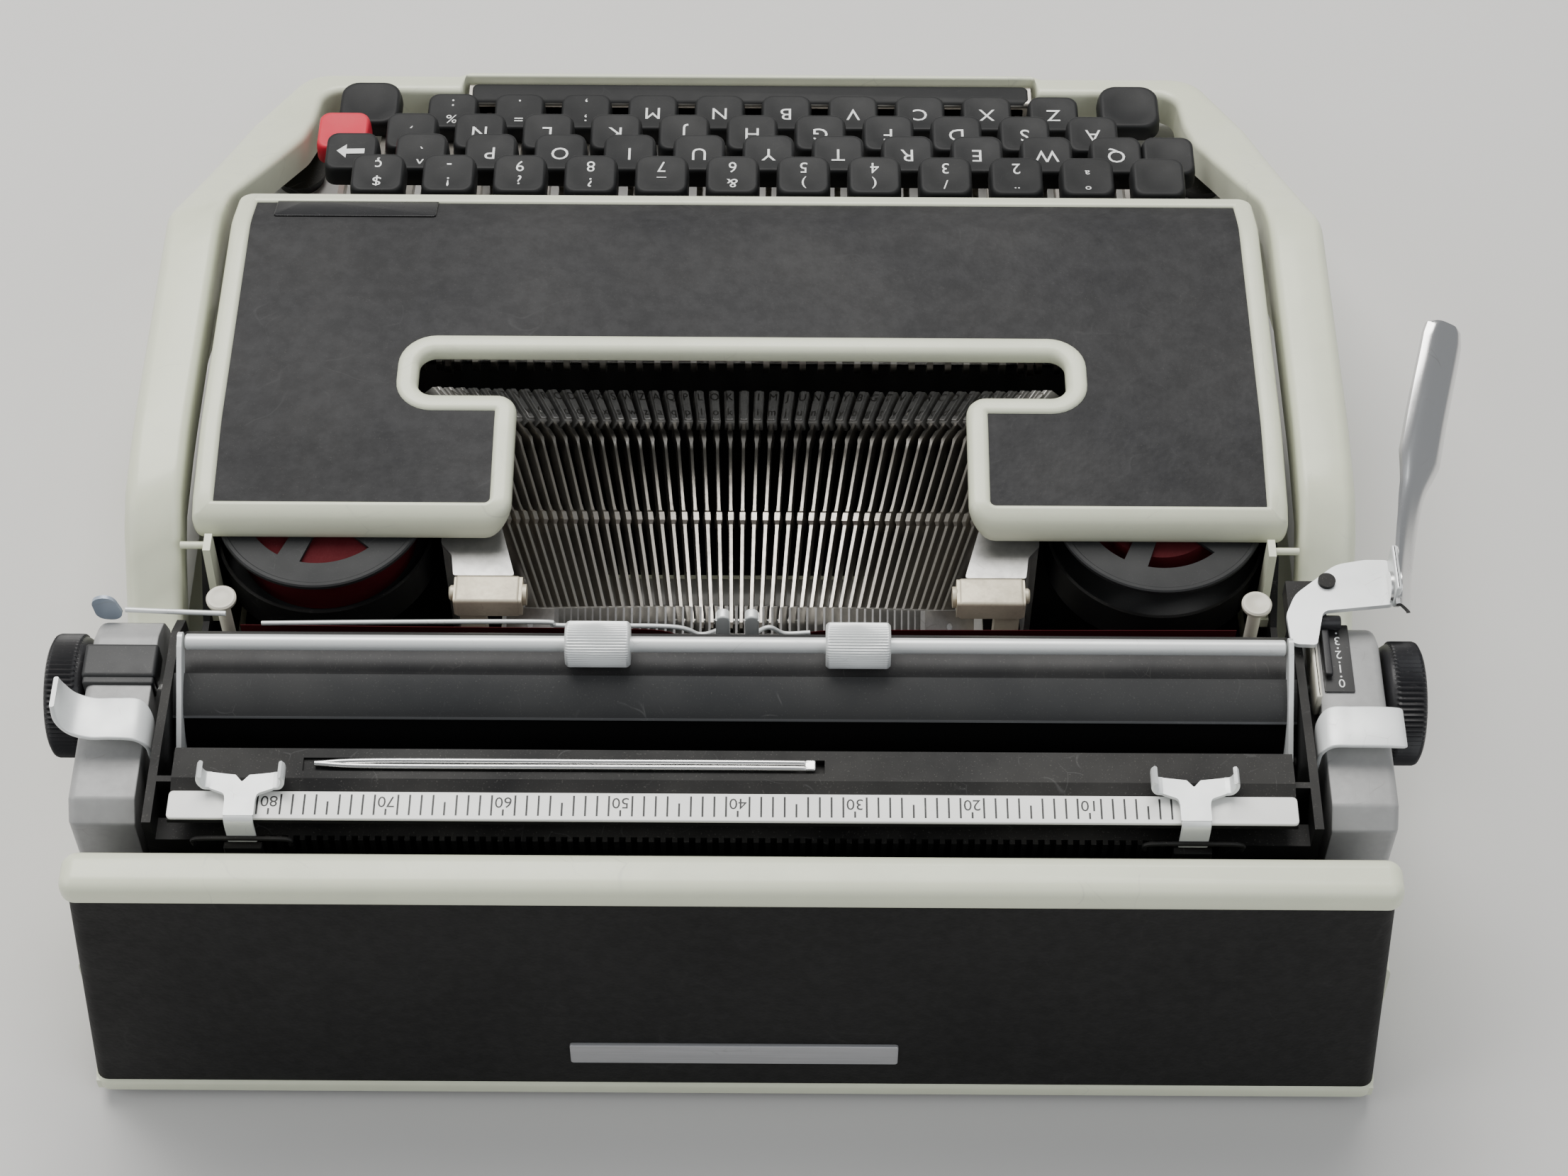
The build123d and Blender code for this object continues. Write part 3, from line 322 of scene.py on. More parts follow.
# A lighter metal for the deflector's edge: a painted highlight along that edge.
edge_highlight_steel = finish("edge_highlight_steel", (0.16, 0.165, 0.17), 0.3, metallic=0.7, shade=(0.7, 0.3),
                    scuff_and_glint=(0.3, (0.3, 0.3, 0.3)),
                    scuff_and_glint_scale=140.0, dust=0.05, depth=0.006)
badge_black = finish("badge_black", (0.012, 0.012, 0.013), 0.22, metallic=0.2, shade=(0.8, 0.3),
                     scuff_and_glint=(0.25, (0.2, 0.2, 0.2)),
                     scuff_and_glint_scale=160.0, dust=0.05, depth=0.006)
cream_plastic = finish("cream_plastic", (0.72, 0.69, 0.58), 0.32, shade=(0.75, 0.4),
                       scuff_and_glint=(0.2, (0.4, 0.36, 0.28)),
                       scuff_and_glint_scale=260.0, dust=0.08, depth=0.01)
blue_grey = finish("blue_grey", (0.36, 0.42, 0.50), 0.35, metallic=0.2, shade=(0.7, 0.4), dust=0.08,
                   depth=0.01)
ribbon_cloth = finish("ribbon_cloth", (0.065, 0.003, 0.006), 0.8, specular=0.15, shade=(0.4, 0.5),
                      scuff_and_glint=(0.2, (0.02, 0.02, 0.02)),
                      dust=0.04, grain="brushed", grain_values={"Along X": 2500.0, "Along Y": 900.0,
                                                                "Along Z": 2500.0},
                      depth=0.03, grain_tint=0.2)

CAD_FINISH = {
    "body_shell": casing_paint, "bottom_plate": casing_paint, "rear_cap": casing_paint,
    "cover_frame": casing_paint,
    "end_cover_left": carriage_paint, "end_cover_right": carriage_paint, "lever_bracket": carriage_paint,
    "cover_inset": leatherette, "rear_panel": shaded_rear_leatherette, "rear_plate": blank_plate,
    "badge_plate": blank_plate,
    "number_row_keys": key_plastic, "upper_row_keys": key_plastic, "home_row_keys": key_plastic,
    "lower_row_keys": key_plastic, "striking_key": key_plastic, "backspace_key": key_plastic,
    "shift_keys": key_plastic, "space_bar": key_plastic, "tab_key": red_plastic,
    "spool_left": spool_plastic, "spool_right": spool_plastic, "spool_cups": black_steel,
    "ribbon_pack_left": ribbon_cloth, "ribbon_pack_right": ribbon_cloth, "ribbon": ribbon_cloth,
    "ribbon_posts": cream_plastic, "side_frames": black_steel, "carriage_rail": black_steel,
    "paper_table": black_steel, "paper_deflector": dark_steel, "mainspring_drum": black_steel,
    "margin_rail": black_steel, "carriage_frame": black_steel, "hinge_pins": casing_paint,
    "line_space_selector": black_steel, "bail_frame": bright_steel, "bail_rollers": bright_steel,
    "return_lever": bright_steel, "paper_release_lever": silver_paint, "carriage_release_lever": silver_paint,
    "margin_stop_left": silver_paint, "margin_stop_right": silver_paint, "paper_support": bright_steel,
    "platen_shaft": bright_steel, "tie_rods": bright_steel, "fulcrum_wire": bright_steel,
    "type_guide": silver_paint, "type_bars": bar_steel, "striking_type_bar": bar_steel,
    "segment": plate_steel,
    "basket_brackets": plate_steel, "ratchet_wheel": plate_steel, "type_slugs": type_metal,
    "pivot_blocks": cream_brass, "platen": platen_rubber, "feed_rollers": soft_rubber,
    "rubber_feet": soft_rubber,
    "platen_knobs": knob_plastic, "margin_scale": scale_enamel,
}
for title, material in CAD_FINISH.items():
    nodes[title].data.materials.clear()
    nodes[title].data.materials.append(material)


# ---------------------------------------------------------------- shapes
def piece(title, points, faces, body, slot, material, stands_for=(), smooth=40.0):
    """An object on its body, from an (n, 3) array in millimetres and faces by index."""
    mesh = bpy.data.meshes.new(title)
    placed_points = (np.asarray(points, float) + middle) * MM
    mesh.from_pydata(placed_points.tolist(), [], [list(map(int, f)) for f in faces])
    mesh.materials.append(material)
    mesh.validate()
    item = bpy.data.objects.new(title, mesh)
    bpy.context.scene.collection.objects.link(item)
    mesh.shade_smooth()
    if smooth is not None:
        mesh.set_sharp_from_angle(angle=math.radians(smooth))
    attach(item, body)
    if stands_for:
        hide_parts(*stands_for)
    return item


def grid_faces(rows, columns, around=True, first=0):
    """Quads of a rows x columns grid of points; around joins the last column to the first."""
    row, column = np.meshgrid(np.arange(rows - 1), np.arange(columns if around else columns - 1),
                              indexing="ij")
    ahead = (column + 1) % columns
    quads = np.stack([row * columns + column, row * columns + ahead,
                      (row + 1) * columns + ahead, (row + 1) * columns + column], -1)
    return (quads.reshape(-1, 4) + first).tolist()


def skin(sections, closed=False, caps=True):
    """A surface through equal closed sections (rows, columns, 3); its ends are closed by flat faces,
    or joined to each other where closed is true."""
    sections = np.asarray(sections, float)
    rows, columns = sections.shape[:2]
    if closed:
        sections = np.concatenate([sections, sections[:1]])
        faces = grid_faces(rows + 1, columns)
        faces = [[i % (rows * columns) for i in face] for face in faces]
        return sections[:-1].reshape(-1, 3), faces
    faces = grid_faces(rows, columns)
    if caps:
        faces.append(list(range(columns))[::-1])
        faces.append(list(range((rows - 1) * columns, rows * columns)))
    return sections.reshape(-1, 3), faces


def joined(parts):
    """Several (points, faces) as one."""
    points, faces, count = [], [], 0
    for some_points, some_faces in parts:
        points.append(np.asarray(some_points, float))
        faces += [[i + count for i in face] for face in some_faces]
        count += len(some_points)
    return np.concatenate(points), faces


def outline(points, radii, inset=0.0, arc=6, run=1, closed=True):
    """A polygon, taken counter-clockwise, moved inwards by inset, with each corner rounded to its radius
    (less inset where it turns left, more where it turns right) by arc + 1 points, and run points
    along each side. Equal counts for equal arguments, so two outlines match point by point."""
    p = np.asarray(points, float)
    count = len(p)
    radii = np.broadcast_to(np.asarray(radii, float), (count,))
    before = p - np.roll(p, 1, 0)
    after = np.roll(p, -1, 0) - p
    before /= np.linalg.norm(before, axis=1)[:, None]
    after /= np.linalg.norm(after, axis=1)[:, None]
    if not closed:
        before[0], after[-1] = after[0], before[-1]
    inward_a = np.stack([-before[:, 1], before[:, 0]], 1)
    inward_b = np.stack([-after[:, 1], after[:, 0]], 1)
    share = 1 + (inward_a * inward_b).sum(1)
    moved = p + (inward_a + inward_b) / share[:, None] * inset
    turn = before[:, 0] * after[:, 1] - before[:, 1] * after[:, 0]
    radius = np.maximum(radii - np.sign(turn) * inset, 0.25)
    angle = np.arctan2(turn, (before * after).sum(1))
    reach = radius * np.abs(np.tan(angle / 2))
    rounded = []
    for n in range(count):
        t = np.linspace(0, 1, arc + 1)[:, None]
        if not closed and n in (0, count - 1):
            rounded.append(moved[n][None])
            continue
        if abs(angle[n]) < 1e-6:
            rounded.append(moved[n] + before[n] * (t - 0.5) * 0.4)
            continue
        side = np.sign(angle[n]) * np.array([-before[n][1], before[n][0]])
        start = moved[n] - before[n] * reach[n]
        centre = start + side * radius[n]
        turned = angle[n] * t
        spoke = start - centre
        cross = np.array([-spoke[1], spoke[0]])
        rounded.append(centre + spoke * np.cos(turned) + cross * np.sin(turned))
    pieces_of_it = []
    for n in range(count if closed else count - 1):
        pieces_of_it.append(rounded[n])
        if run > 1:
            t = np.linspace(0, 1, run + 1)[1:-1, None]
            pieces_of_it.append(rounded[n][-1] * (1 - t) + rounded[(n + 1) % count][0] * t)
    if not closed:
        pieces_of_it.append(rounded[-1])
    return np.concatenate(pieces_of_it)


def rectangle(x0, x1, y0, y1):
    """The four corners of a rectangle, counter-clockwise."""
    return [(x0, y0), (x1, y0), (x1, y1), (x0, y1)]


def prism(points, radii, z0, z1, edge=0.5, arc=6, run=1, top_edge=None):
    """A rounded plan carried up from z0 to z1, with its bottom and top edges rounded off."""
    top = edge if top_edge is None else top_edge
    quarter = np.linspace(0, math.pi / 2, 5)
    levels = [(edge * (1 - math.sin(a)), z0 + edge * (1 - math.cos(a))) for a in quarter]
    levels += [(top * (1 - math.cos(a)), z1 - top * (1 - math.sin(a))) for a in quarter]
    sections = []
    for inset, z in levels:
        flat = outline(points, radii, inset, arc, run)
        sections.append(np.column_stack([flat, np.full(len(flat), z)]))
    return skin(sections)


def turned(points, faces, axes):
    """Swaps axes of a shape: axes names where its x, y and z go, such as 'yzx'. The facing is kept."""
    order = ["xyz".index(a) for a in axes]
    moved = np.empty_like(points)
    for source, target in enumerate(order):
        moved[:, target] = points[:, source]
    even = tuple(order) in ((0, 1, 2), (1, 2, 0), (2, 0, 1))
    return moved, faces if even else [face[::-1] for face in faces]


def mirrored(points, faces):
    """A shape mirrored in X, its faces still outward."""
    return points * np.array([-1.0, 1.0, 1.0]), [face[::-1] for face in faces]


def on_side(side, points, faces):
    """The shape as drawn for side 1, its mirror image for side -1."""
    return (points, faces) if side > 0 else mirrored(points, faces)


def lathe(profile, centre, axis="z", steps=64, ripple=0.0, ripples=0, ripple_rows=()):
    """A profile of (radius, height) turned about an axis through centre; ripples flutes of depth ripple
    run along the rows named. Radii of 0 at its ends close it."""
    profile = np.asarray(profile, float)
    around = np.linspace(0, 2 * math.pi, steps, endpoint=False)
    radius = np.repeat(profile[:, :1], steps, 1)
    for row in ripple_rows:
        radius[row] -= ripple * (0.5 - 0.5 * np.cos(around * ripples))
    x, y = radius * np.cos(around), radius * np.sin(around)
    z = np.repeat(profile[:, 1:], steps, 1)
    points, faces = skin(np.stack([x, y, z], -1))
    if axis == "x":
        points, faces = turned(points, faces, "yzx")
    if axis == "y":
        points, faces = turned(points, faces, "zxy")
    return points + np.asarray(centre, float), faces


def tube(path, radius, steps=12, ends=True):
    """A round wire along a path: rings about each point, square to the run there."""
    path = np.asarray(path, float)
    along = np.gradient(path, axis=0)
    along /= np.linalg.norm(along, axis=1)[:, None]
    side = np.cross(along, [0.0, 0.0, 1.0])
    flat = np.linalg.norm(side, axis=1) < 1e-3
    side[flat] = np.cross(along[flat], [0.0, 1.0, 0.0])
    side /= np.linalg.norm(side, axis=1)[:, None]
    up = np.cross(side, along)
    around = np.linspace(0, 2 * math.pi, steps, endpoint=False)
    radius = np.broadcast_to(np.asarray(radius, float), (len(path),))[:, None, None]
    ring = path[:, None] + radius * (side[:, None] * np.cos(around)[None, :, None]
                                     + up[:, None] * np.sin(around)[None, :, None])
    return skin(ring[:, ::-1], caps=ends)


def smooth_path(points, per_run=8):
    """A Catmull-Rom curve through points."""
    p = np.asarray(points, float)
    p = np.concatenate([2 * p[:1] - p[1:2], p, 2 * p[-1:] - p[-2:-1]])
    t = np.linspace(0, 1, per_run, endpoint=False)[:, None]
    runs = []
    for n in range(1, len(p) - 2):
        a, b, c, d = p[n - 1], p[n], p[n + 1], p[n + 2]
        runs.append(0.5 * (2 * b + (c - a) * t + (2 * a - 5 * b + 4 * c - d) * t ** 2
                           + (3 * b - a - 3 * c + d) * t ** 3))
    return np.concatenate(runs + [p[-2:-1]])


def strip(path, width_axis, width, thickness, edge=0.3):
    """A sheet-metal strip: a rounded flat section, width wide along width_axis, carried along a path."""
    path = np.asarray(path, float)
    along = np.gradient(path, axis=0)
    along /= np.linalg.norm(along, axis=1)[:, None]
    wide = np.broadcast_to(np.asarray(width_axis, float), path.shape)
    wide = wide / np.linalg.norm(wide, axis=1)[:, None]
    thick = np.cross(along, wide)
    thick /= np.linalg.norm(thick, axis=1)[:, None]
    width = np.broadcast_to(np.asarray(width, float), (len(path),))[:, None, None]
    corner = min(edge, thickness * 0.49)
    section = outline(rectangle(-1.0, 1.0, -thickness / 2, thickness / 2), corner * 0.9, 0.0, 3, 1)
    across_it, through_it = section[:, 0], section[:, 1]
    inner = np.sign(across_it) * (1 - np.abs(across_it))
    rings = path[:, None] + wide[:, None] * (np.sign(across_it)[None, :, None] * width / 2
                                             - inner[None, :, None]) \
        + thick[:, None] * through_it[None, :, None]
    return skin(rings)


def plate(rim, holes, z0, z1):
    """A flat sheet with holes: its outline and holes joined by a triangulation, a wall round each."""
    loops = [np.asarray(rim, float)] + [np.asarray(h, float) for h in holes]
    flat = np.concatenate(loops)
    ends = np.cumsum([len(loop) for loop in loops])
    starts = ends - [len(loop) for loop in loops]
    edges = [(i, i + 1 if i + 1 < e else s) for s, e in zip(starts, ends) for i in range(s, e)]
    faces = [list(range(s, e)) for s, e in zip(starts, ends)]
    found = geometry.delaunay_2d_cdt([Vector(p) for p in flat], edges, faces if not holes else [], 0, 1e-6)
    flat = np.array([tuple(p) for p in found[0]])
    triangles = [list(face) for face in found[2]]
    if holes:
        triangles = [t for t in triangles if inside(flat[t].mean(0), loops)]
    else:
        triangles = [t for t in triangles if inside(flat[t].mean(0), loops[:1])]
    count = len(flat)
    upper = np.column_stack([flat, np.full(count, z1)])
    lower = np.column_stack([flat, np.full(count, z0)])
    result = [list(t) for t in triangles] + [[i + count for i in t[::-1]] for t in triangles]
    directed = {}
    for t in triangles:
        for a, b in zip(t, t[1:] + t[:1]):
            directed[(a, b)] = True
    for a, b in directed:
        if (b, a) not in directed:
            result.append([a, a + count, b + count, b])
    return np.concatenate([upper, lower]), result


def inside(point, loops):
    """True where a point is within an odd number of loops: crossings of a ray to the right."""
    crossings = 0
    for loop in loops:
        a, b = loop, np.roll(loop, -1, 0)
        straddle = (a[:, 1] > point[1]) != (b[:, 1] > point[1])
        with np.errstate(divide="ignore", invalid="ignore"):
            x = a[:, 0] + (point[1] - a[:, 1]) * (b[:, 0] - a[:, 0]) / (b[:, 1] - a[:, 1])
        crossings += int((straddle & (x > point[0])).sum())
    return crossings % 2 == 1


# ---------------------------------------------------------------- casing
SOFTNESS = 2.2


def softened(y, points):
    """Height along a straight-sided profile of (y, z), averaged over a short span to round its creases."""
    knots = np.asarray(points, float)
    spread = np.linspace(-SOFTNESS, SOFTNESS, 7)
    y = np.asarray(y, float)
    return np.mean([np.interp(y + s, knots[:, 0], knots[:, 1]) for s in spread], axis=0)


shell_low, shell_high = corners("body_shell")
half_width = shell_high[0]
front_y, back_y = shell_low[1], shell_high[1]
base_z = shell_low[2]
SHELL_PROFILE = [(front_y - 5, 17.0), (front_y, 18.0), (-134, 24.5), (-58, 67), (11, 68), (34, 65),
                 (57, 40), (150, 40)]
RING = 14.5
ring_inside = half_width - RING


def shell_height(y):
    """The casing's top at a distance from the front."""
    return softened(y, SHELL_PROFILE)


def body_ring():
    """The casing: a closed section carried round a U-shaped plan. Outer and inner plans match point by
    point; across them run the wall, a round outer edge, the top, a round inner edge and a skirt, and
    every height hangs from the side profile at that point's y."""
    right_outer = [(half_width, back_y), (half_width, -58), (140.5, -134), (128.5, front_y), (85.0, front_y),
                   (81.0, front_y)]
    right_inner = [(ring_inside, back_y), (ring_inside, -72), (123.8, -119), (122.0, -149.6), (82.6, -149.6),
                   (82.4, -157.2)]
    both = lambda side: side + [(-x, y) for x, y in side[::-1]]
    outer = outline(both(right_outer), [0, 60, 26, 11, 0.6, 0.6, 0.6, 0.6, 11, 26, 60, 0], 0, 8, 26,
                    closed=False)
    inner = outline(both(right_inner), [0, 30, 30, 6, 1.2, 1.2, 1.2, 1.2, 6, 30, 30, 0], 0, 8, 26,
                    closed=False)
    width = np.linalg.norm(inner - outer, axis=1)
    towards = (inner - outer) / width[:, None]
    wall = np.minimum(2.4, width * 0.4)
    round_out = np.minimum(4.2, width * 0.45)
    round_in = np.minimum(2.6, width * 0.3)
    quarter = np.linspace(0, math.pi / 2, 6)
    rows = []

    def row(inset, drop, floor=None):
        """One ring of the section, inset from the outer plan and dropped from the side profile."""
        flat = outer + towards * inset[:, None]
        z = shell_height(flat[:, 1]) - drop if floor is None else np.full(len(flat), floor)
        rows.append(np.column_stack([flat, z]))

    flare = 1.6
    row(0 * width, None, base_z)
    row(0 * width + flare * 0.4, round_out + flare)
    for a in quarter:
        row(flare * 0.4 + round_out * (1 - np.cos(a)), round_out * (1 - np.sin(a)))
    for a in quarter:
        row(width - round_in * (1 - np.sin(a)), round_in * (1 - np.cos(a)))
    row(width, round_in + np.minimum(9.0, width))
    row(width - wall * 0.6, round_in + np.minimum(9.0, width))
    row(width - wall * 0.6, 0 * width + 3.0)
    row(wall, 0 * width + 4.0)
    row(wall, None, base_z)
    sections = np.stack(rows, 1)
    return skin(sections)


points, faces = body_ring()
piece("casing_ring", points, faces, "chassis", "casing_paint", casing_paint, ["body_shell"], smooth=50)

# ---- rear housing: cap strip with rounded ends, leather-faced panel, light trim
cap_low, cap_high = corners("rear_cap")


def crowned_bar(low, high, round_top, corner, rows=1):
    """A long bar of rounded rectangular plan whose top edges roll over with a wide radius."""
    return prism(rectangle(low[0], high[0], low[1], high[1]), corner, low[2], high[2], 0.5, 8, rows,
                 round_top)


points, faces = crowned_bar(cap_low - [0, 0, 0.4], cap_high, 3.4, 3.6, 12)
piece("rear_cap_strip", points, faces, "chassis", "casing_paint", casing_paint, ["rear_cap"], smooth=50)
panel_low, panel_high = corners("rear_panel")
PANEL_TOP_HALF, PANEL_LEAN = 142.5, 4.5


def rear_panel():
    """A shallow box that narrows and leans as it rises: rounded plans interpolated from the base to the
    top, with the corner radius kept and the wall left hollow inside."""
    rise = np.linspace(0, 1, 10)
    loops = []
    for inner in (0.0, 2.4):
        side = []
        for t in rise if inner == 0 else rise[::-1]:
            half = panel_high[0] + (PANEL_TOP_HALF - panel_high[0]) * t - inner
            back = panel_high[1] - PANEL_LEAN * t - inner
            flat = outline(rectangle(-half, half, panel_low[1], back), [0.5, 0.5, 3.0, 3.0], 0, 6, 10)
            side.append(np.column_stack([flat,
                                         np.full(len(flat), panel_low[2] + (panel_high[2] - panel_low[2])
                                                 * t)]))
        loops += side
    return skin(loops, closed=True)


points, faces = rear_panel()
piece("rear_leather_panel", points, faces, "chassis", "black_leatherette", shaded_rear_leatherette, ["rear_panel"],
      smooth=50)
trim = prism(rectangle(-panel_high[0] - 0.4, panel_high[0] + 0.4, panel_low[1], panel_high[1] + 0.7),
             [0.5, 0.5, 3.4, 3.4],
             4.0, 8.2, 0.4, 6, 8, 1.2)
piece("rear_trim", *trim, "chassis", "casing_paint", casing_paint)
plate_low, plate_high = corners("rear_plate")


def leaning_plate(low, high, thick, corner):
    """A thin rounded plate standing on the leaning rear face: a flat rounded plan tilted about its foot."""
    lean = PANEL_LEAN / (panel_high[2] - panel_low[2])
    flat, faces = prism(rectangle(low[0], high[0], low[2], high[2]), corner, 0.0, thick, 0.1, 4, 1, 0.25)
    x, z, out = flat.T
    y = panel_high[1] - (z - panel_low[2]) * lean + out - 0.1
    return np.column_stack([x, y, z]), [face[::-1] for face in faces]


piece("rear_blank_plate", *leaning_plate(plate_low, plate_high, 0.9, 0.7), "chassis", "plate_aluminium",
      blank_plate,
      ["rear_plate"])

# ---- ribbon cover: one lipped rim round the plan and its typing window, with an inlaid sheet
cover_x = corners("cover_frame")[1][0]
COVER_FRONT, COVER_REAR = -72.0, 38.5
COVER_PROFILE = [(-80, 55.9), (-72, 60.5), (-56, 67), (11, 68), (35.5, 64.5), (45, 51)]
WINDOW_HALF, WINDOW_FRONT, WINDOW_REAR, STEM_HALF = 80.4, -12.0, 2.0, 55.4
RIM = 5.2
cover_plan = [(-cover_x, COVER_FRONT), (cover_x, COVER_FRONT), (cover_x, COVER_REAR), (STEM_HALF, COVER_REAR),
              (STEM_HALF, WINDOW_REAR), (WINDOW_HALF, WINDOW_REAR), (WINDOW_HALF, WINDOW_FRONT),
              (-WINDOW_HALF, WINDOW_FRONT), (-WINDOW_HALF, WINDOW_REAR), (-STEM_HALF, WINDOW_REAR),
              (-STEM_HALF, COVER_REAR), (-cover_x, COVER_REAR)]
cover_radii = [4, 4, 2.4, 6.5, 5.0, 4.2, 4.2, 4.2, 4.2, 5.0, 6.5, 2.4]


def cover_height(y):
    """The cover's crown at a distance from the front."""
    return softened(y, COVER_PROFILE)


def cover_rim():
    """The painted rim: a closed lipped section carried round the cover's plan, every height measured down
    from the cover's crowned profile."""
    quarter = np.linspace(0, math.pi / 2, 5)
    levels = [(0.2, 4.2), (0.0, 3.6), (0.0, 2.2)]
    levels += [(2.0 * (1 - math.cos(a)), 2.2 * (1 - math.sin(a))) for a in quarter[1:]]
    levels += [(RIM - 1.4 * (1 - math.sin(a)), 1.2 * (1 - math.cos(a))) for a in quarter]
    levels += [(RIM + 0.4, 1.8), (RIM + 0.4, 4.2)]
    loops = []
    for inset, drop in levels:
        flat = outline(cover_plan, cover_radii, inset, 8, 26)
        loops.append(np.column_stack([flat, cover_height(flat[:, 1]) - drop]))
    return skin(loops, closed=True)


piece("cover_rim", *cover_rim(), "ribbon_cover", "casing_paint", casing_paint, ["cover_frame"], smooth=50)


def sheet_over(rim, height, thick, spacing):
    """A sheet cut to a closed plan and laid over a profile: grid points inside the plan are triangulated
    with its outline, and raised to the height at their y."""
    rim = np.asarray(rim)
    x, y = np.meshgrid(np.arange(rim[:, 0].min() + spacing, rim[:, 0].max(), spacing),
                       np.arange(rim[:, 1].min() + spacing / 2, rim[:, 1].max(), spacing / 2))
    grid = np.column_stack([x.ravel(), y.ravel()])
    crossings = np.zeros(len(grid), int)
    nearest = np.full(len(grid), 1e9)
    for a, b in zip(rim, np.roll(rim, -1, 0)):
        straddle = (a[1] > grid[:, 1]) != (b[1] > grid[:, 1])
        slope = (b[0] - a[0]) / (b[1] - a[1]) if a[1] != b[1] else 0.0
        crossings += straddle & (a[0] + (grid[:, 1] - a[1]) * slope > grid[:, 0])
        nearest = np.minimum(nearest, np.hypot(*(grid - a).T))
    grid = grid[(crossings % 2 == 1) & (nearest > spacing * 0.4)]
    edges = [(n, (n + 1) % len(rim)) for n in range(len(rim))]
    found = geometry.delaunay_2d_cdt([Vector(p) for p in np.concatenate([rim, grid])], edges,
                                     [list(range(len(rim)))], 1, 1e-6)
    flat = np.array([tuple(p) for p in found[0]])
    top = np.column_stack([flat, height(flat[:, 1])])
    count = len(flat)
    triangles = [list(t) for t in found[2]]
    directed = {(a, b) for t in triangles for a, b in zip(t, t[1:] + t[:1])}
    walls = [[a, a + count, b + count, b] for a, b in directed if (b, a) not in directed]
    return (np.concatenate([top, top - [0, 0, thick]]),
            triangles + [[i + count for i in t[::-1]] for t in triangles] + walls)


inlay_plan = outline(cover_plan, cover_radii, RIM - 0.3, 8, 26)
piece("cover_inlay", *sheet_over(inlay_plan, lambda y: cover_height(y) - 0.95, 1.6, 6.0), "ribbon_cover",
      "black_leatherette", leatherette, ["cover_inset"], smooth=30)
badge_low, badge_high = corners("badge_plate")


def badge():
    """A thin blank plate that follows the front slope of the cover."""
    flat, faces = prism(rectangle(badge_low[0], badge_high[0], badge_low[1], badge_high[1]), 0.8, 0, 0.5,
                        0.1, 4, 6, 0.2)
    return np.column_stack([flat[:, 0], flat[:, 1], cover_height(flat[:, 1]) - 0.95 + flat[:, 2]]), faces


piece("badge_blank", *badge(), "ribbon_cover", "plate_aluminium", badge_black, ["badge_plate"])

# ---------------------------------------------------------------- keyboard
PITCH, FIRST_X = 19.05, -101.0
ROW_Y = [-139.5 + 17.0 * n for n in range(4)]
ROW_Z = [22.5 + 9.4 * n for n in range(4)]
LEVER_Z = [12.0, 18.0, 25.0, 33.5]
Z_ROW, A_ROW, Q_ROW, NUMBER_ROW = range(4)
FULCRUM = (-38.0, 34.0)
DISH = 30.0


def dish_depth(x, y):
    """Height of a key's round dish: a constant plus (x^2 + y^2) / 2R."""
    return -0.75 + (x ** 2 + y ** 2) / (2 * DISH)


def cap(x, y, z, size_x=14.6, size_y=14.6, depth=6.2, corner=3.1):
    """A key cap: a rounded square that narrows upwards with a full edge; its top is rings of the same
    plan shrinking to the middle, lowered as a shallow round dish."""
    half_x, half_y = size_x / 2, size_y / 2
    square = outline(rectangle(-half_x, half_x, -half_y, half_y), corner, 0, 6, 2)
    scale_z = [(0.99, -depth), (1.0, -depth + 0.4), (0.985, -2.4), (0.965, -1.3), (0.94, -0.6),
               (0.905, -0.2), (0.86, 0.0)]
    loops = [np.column_stack([square * s, np.full(len(square), dz)]) for s, dz in scale_z]
    rim = dish_depth(half_x * 0.8, 0)
    for s in (0.80, 0.7, 0.55, 0.36, 0.16):
        flat = square * s
        low = np.minimum(dish_depth(flat[:, 0], flat[:, 1]) - rim - 0.04, -0.06)
        loops.append(np.column_stack([flat, low]))
    points, faces = skin(loops)
    return points + [x, y, z], faces


def lever(x, z_front, z_top, y_front, y_back):
    """A key's flat lever: a thin upright outline from the fulcrum eye to the stem under its cap."""
    eye = np.linspace(-math.pi / 2, math.pi / 2, 7)
    fy, fz = FULCRUM
    shape = [(y_front, z_front)]
    shape += [(fy + 3.8 * math.cos(a), fz + 3.8 * math.sin(a)) for a in eye]
    shape += [(y_back, z_front + 4), (y_back, z_top), (y_front, z_top)]
    points, faces = plate(shape, [], -0.8, 0.8)
    points, faces = turned(points, faces, "yzx")
    return points + [x, 0, 0], faces


def key_x(column):
    """The place of a key in its row, in key pitches from the first."""
    return FIRST_X + PITCH * column


def key_parts(row, columns):
    """The caps and the levers of one row."""
    caps = joined([cap(key_x(c), ROW_Y[row], ROW_Z[row]) for c in columns])
    levers = joined([lever(key_x(c), LEVER_Z[row], ROW_Z[row] - 2.5, ROW_Y[row] - 2.5, ROW_Y[row] + 2.5)
                     for c in columns])
    return caps, levers


def text_faces(words, size, align="CENTER"):
    """Letters as flat triangles about the origin, in millimetres."""
    curve = bpy.data.curves.new("letters", "FONT")
    curve.body, curve.size, curve.align_x, curve.align_y = words, size, align, "CENTER"
    curve.resolution_u = 3
    item = bpy.data.objects.new("letters", curve)
    mesh = bpy.data.meshes.new_from_object(item)
    flat = np.zeros(len(mesh.vertices) * 3)
    mesh.vertices.foreach_get("co", flat)
    faces = [list(p.vertices) for p in mesh.polygons]
    bpy.data.objects.remove(item)
    bpy.data.curves.remove(curve)
    bpy.data.meshes.remove(mesh)
    return flat.reshape(-1, 3), faces


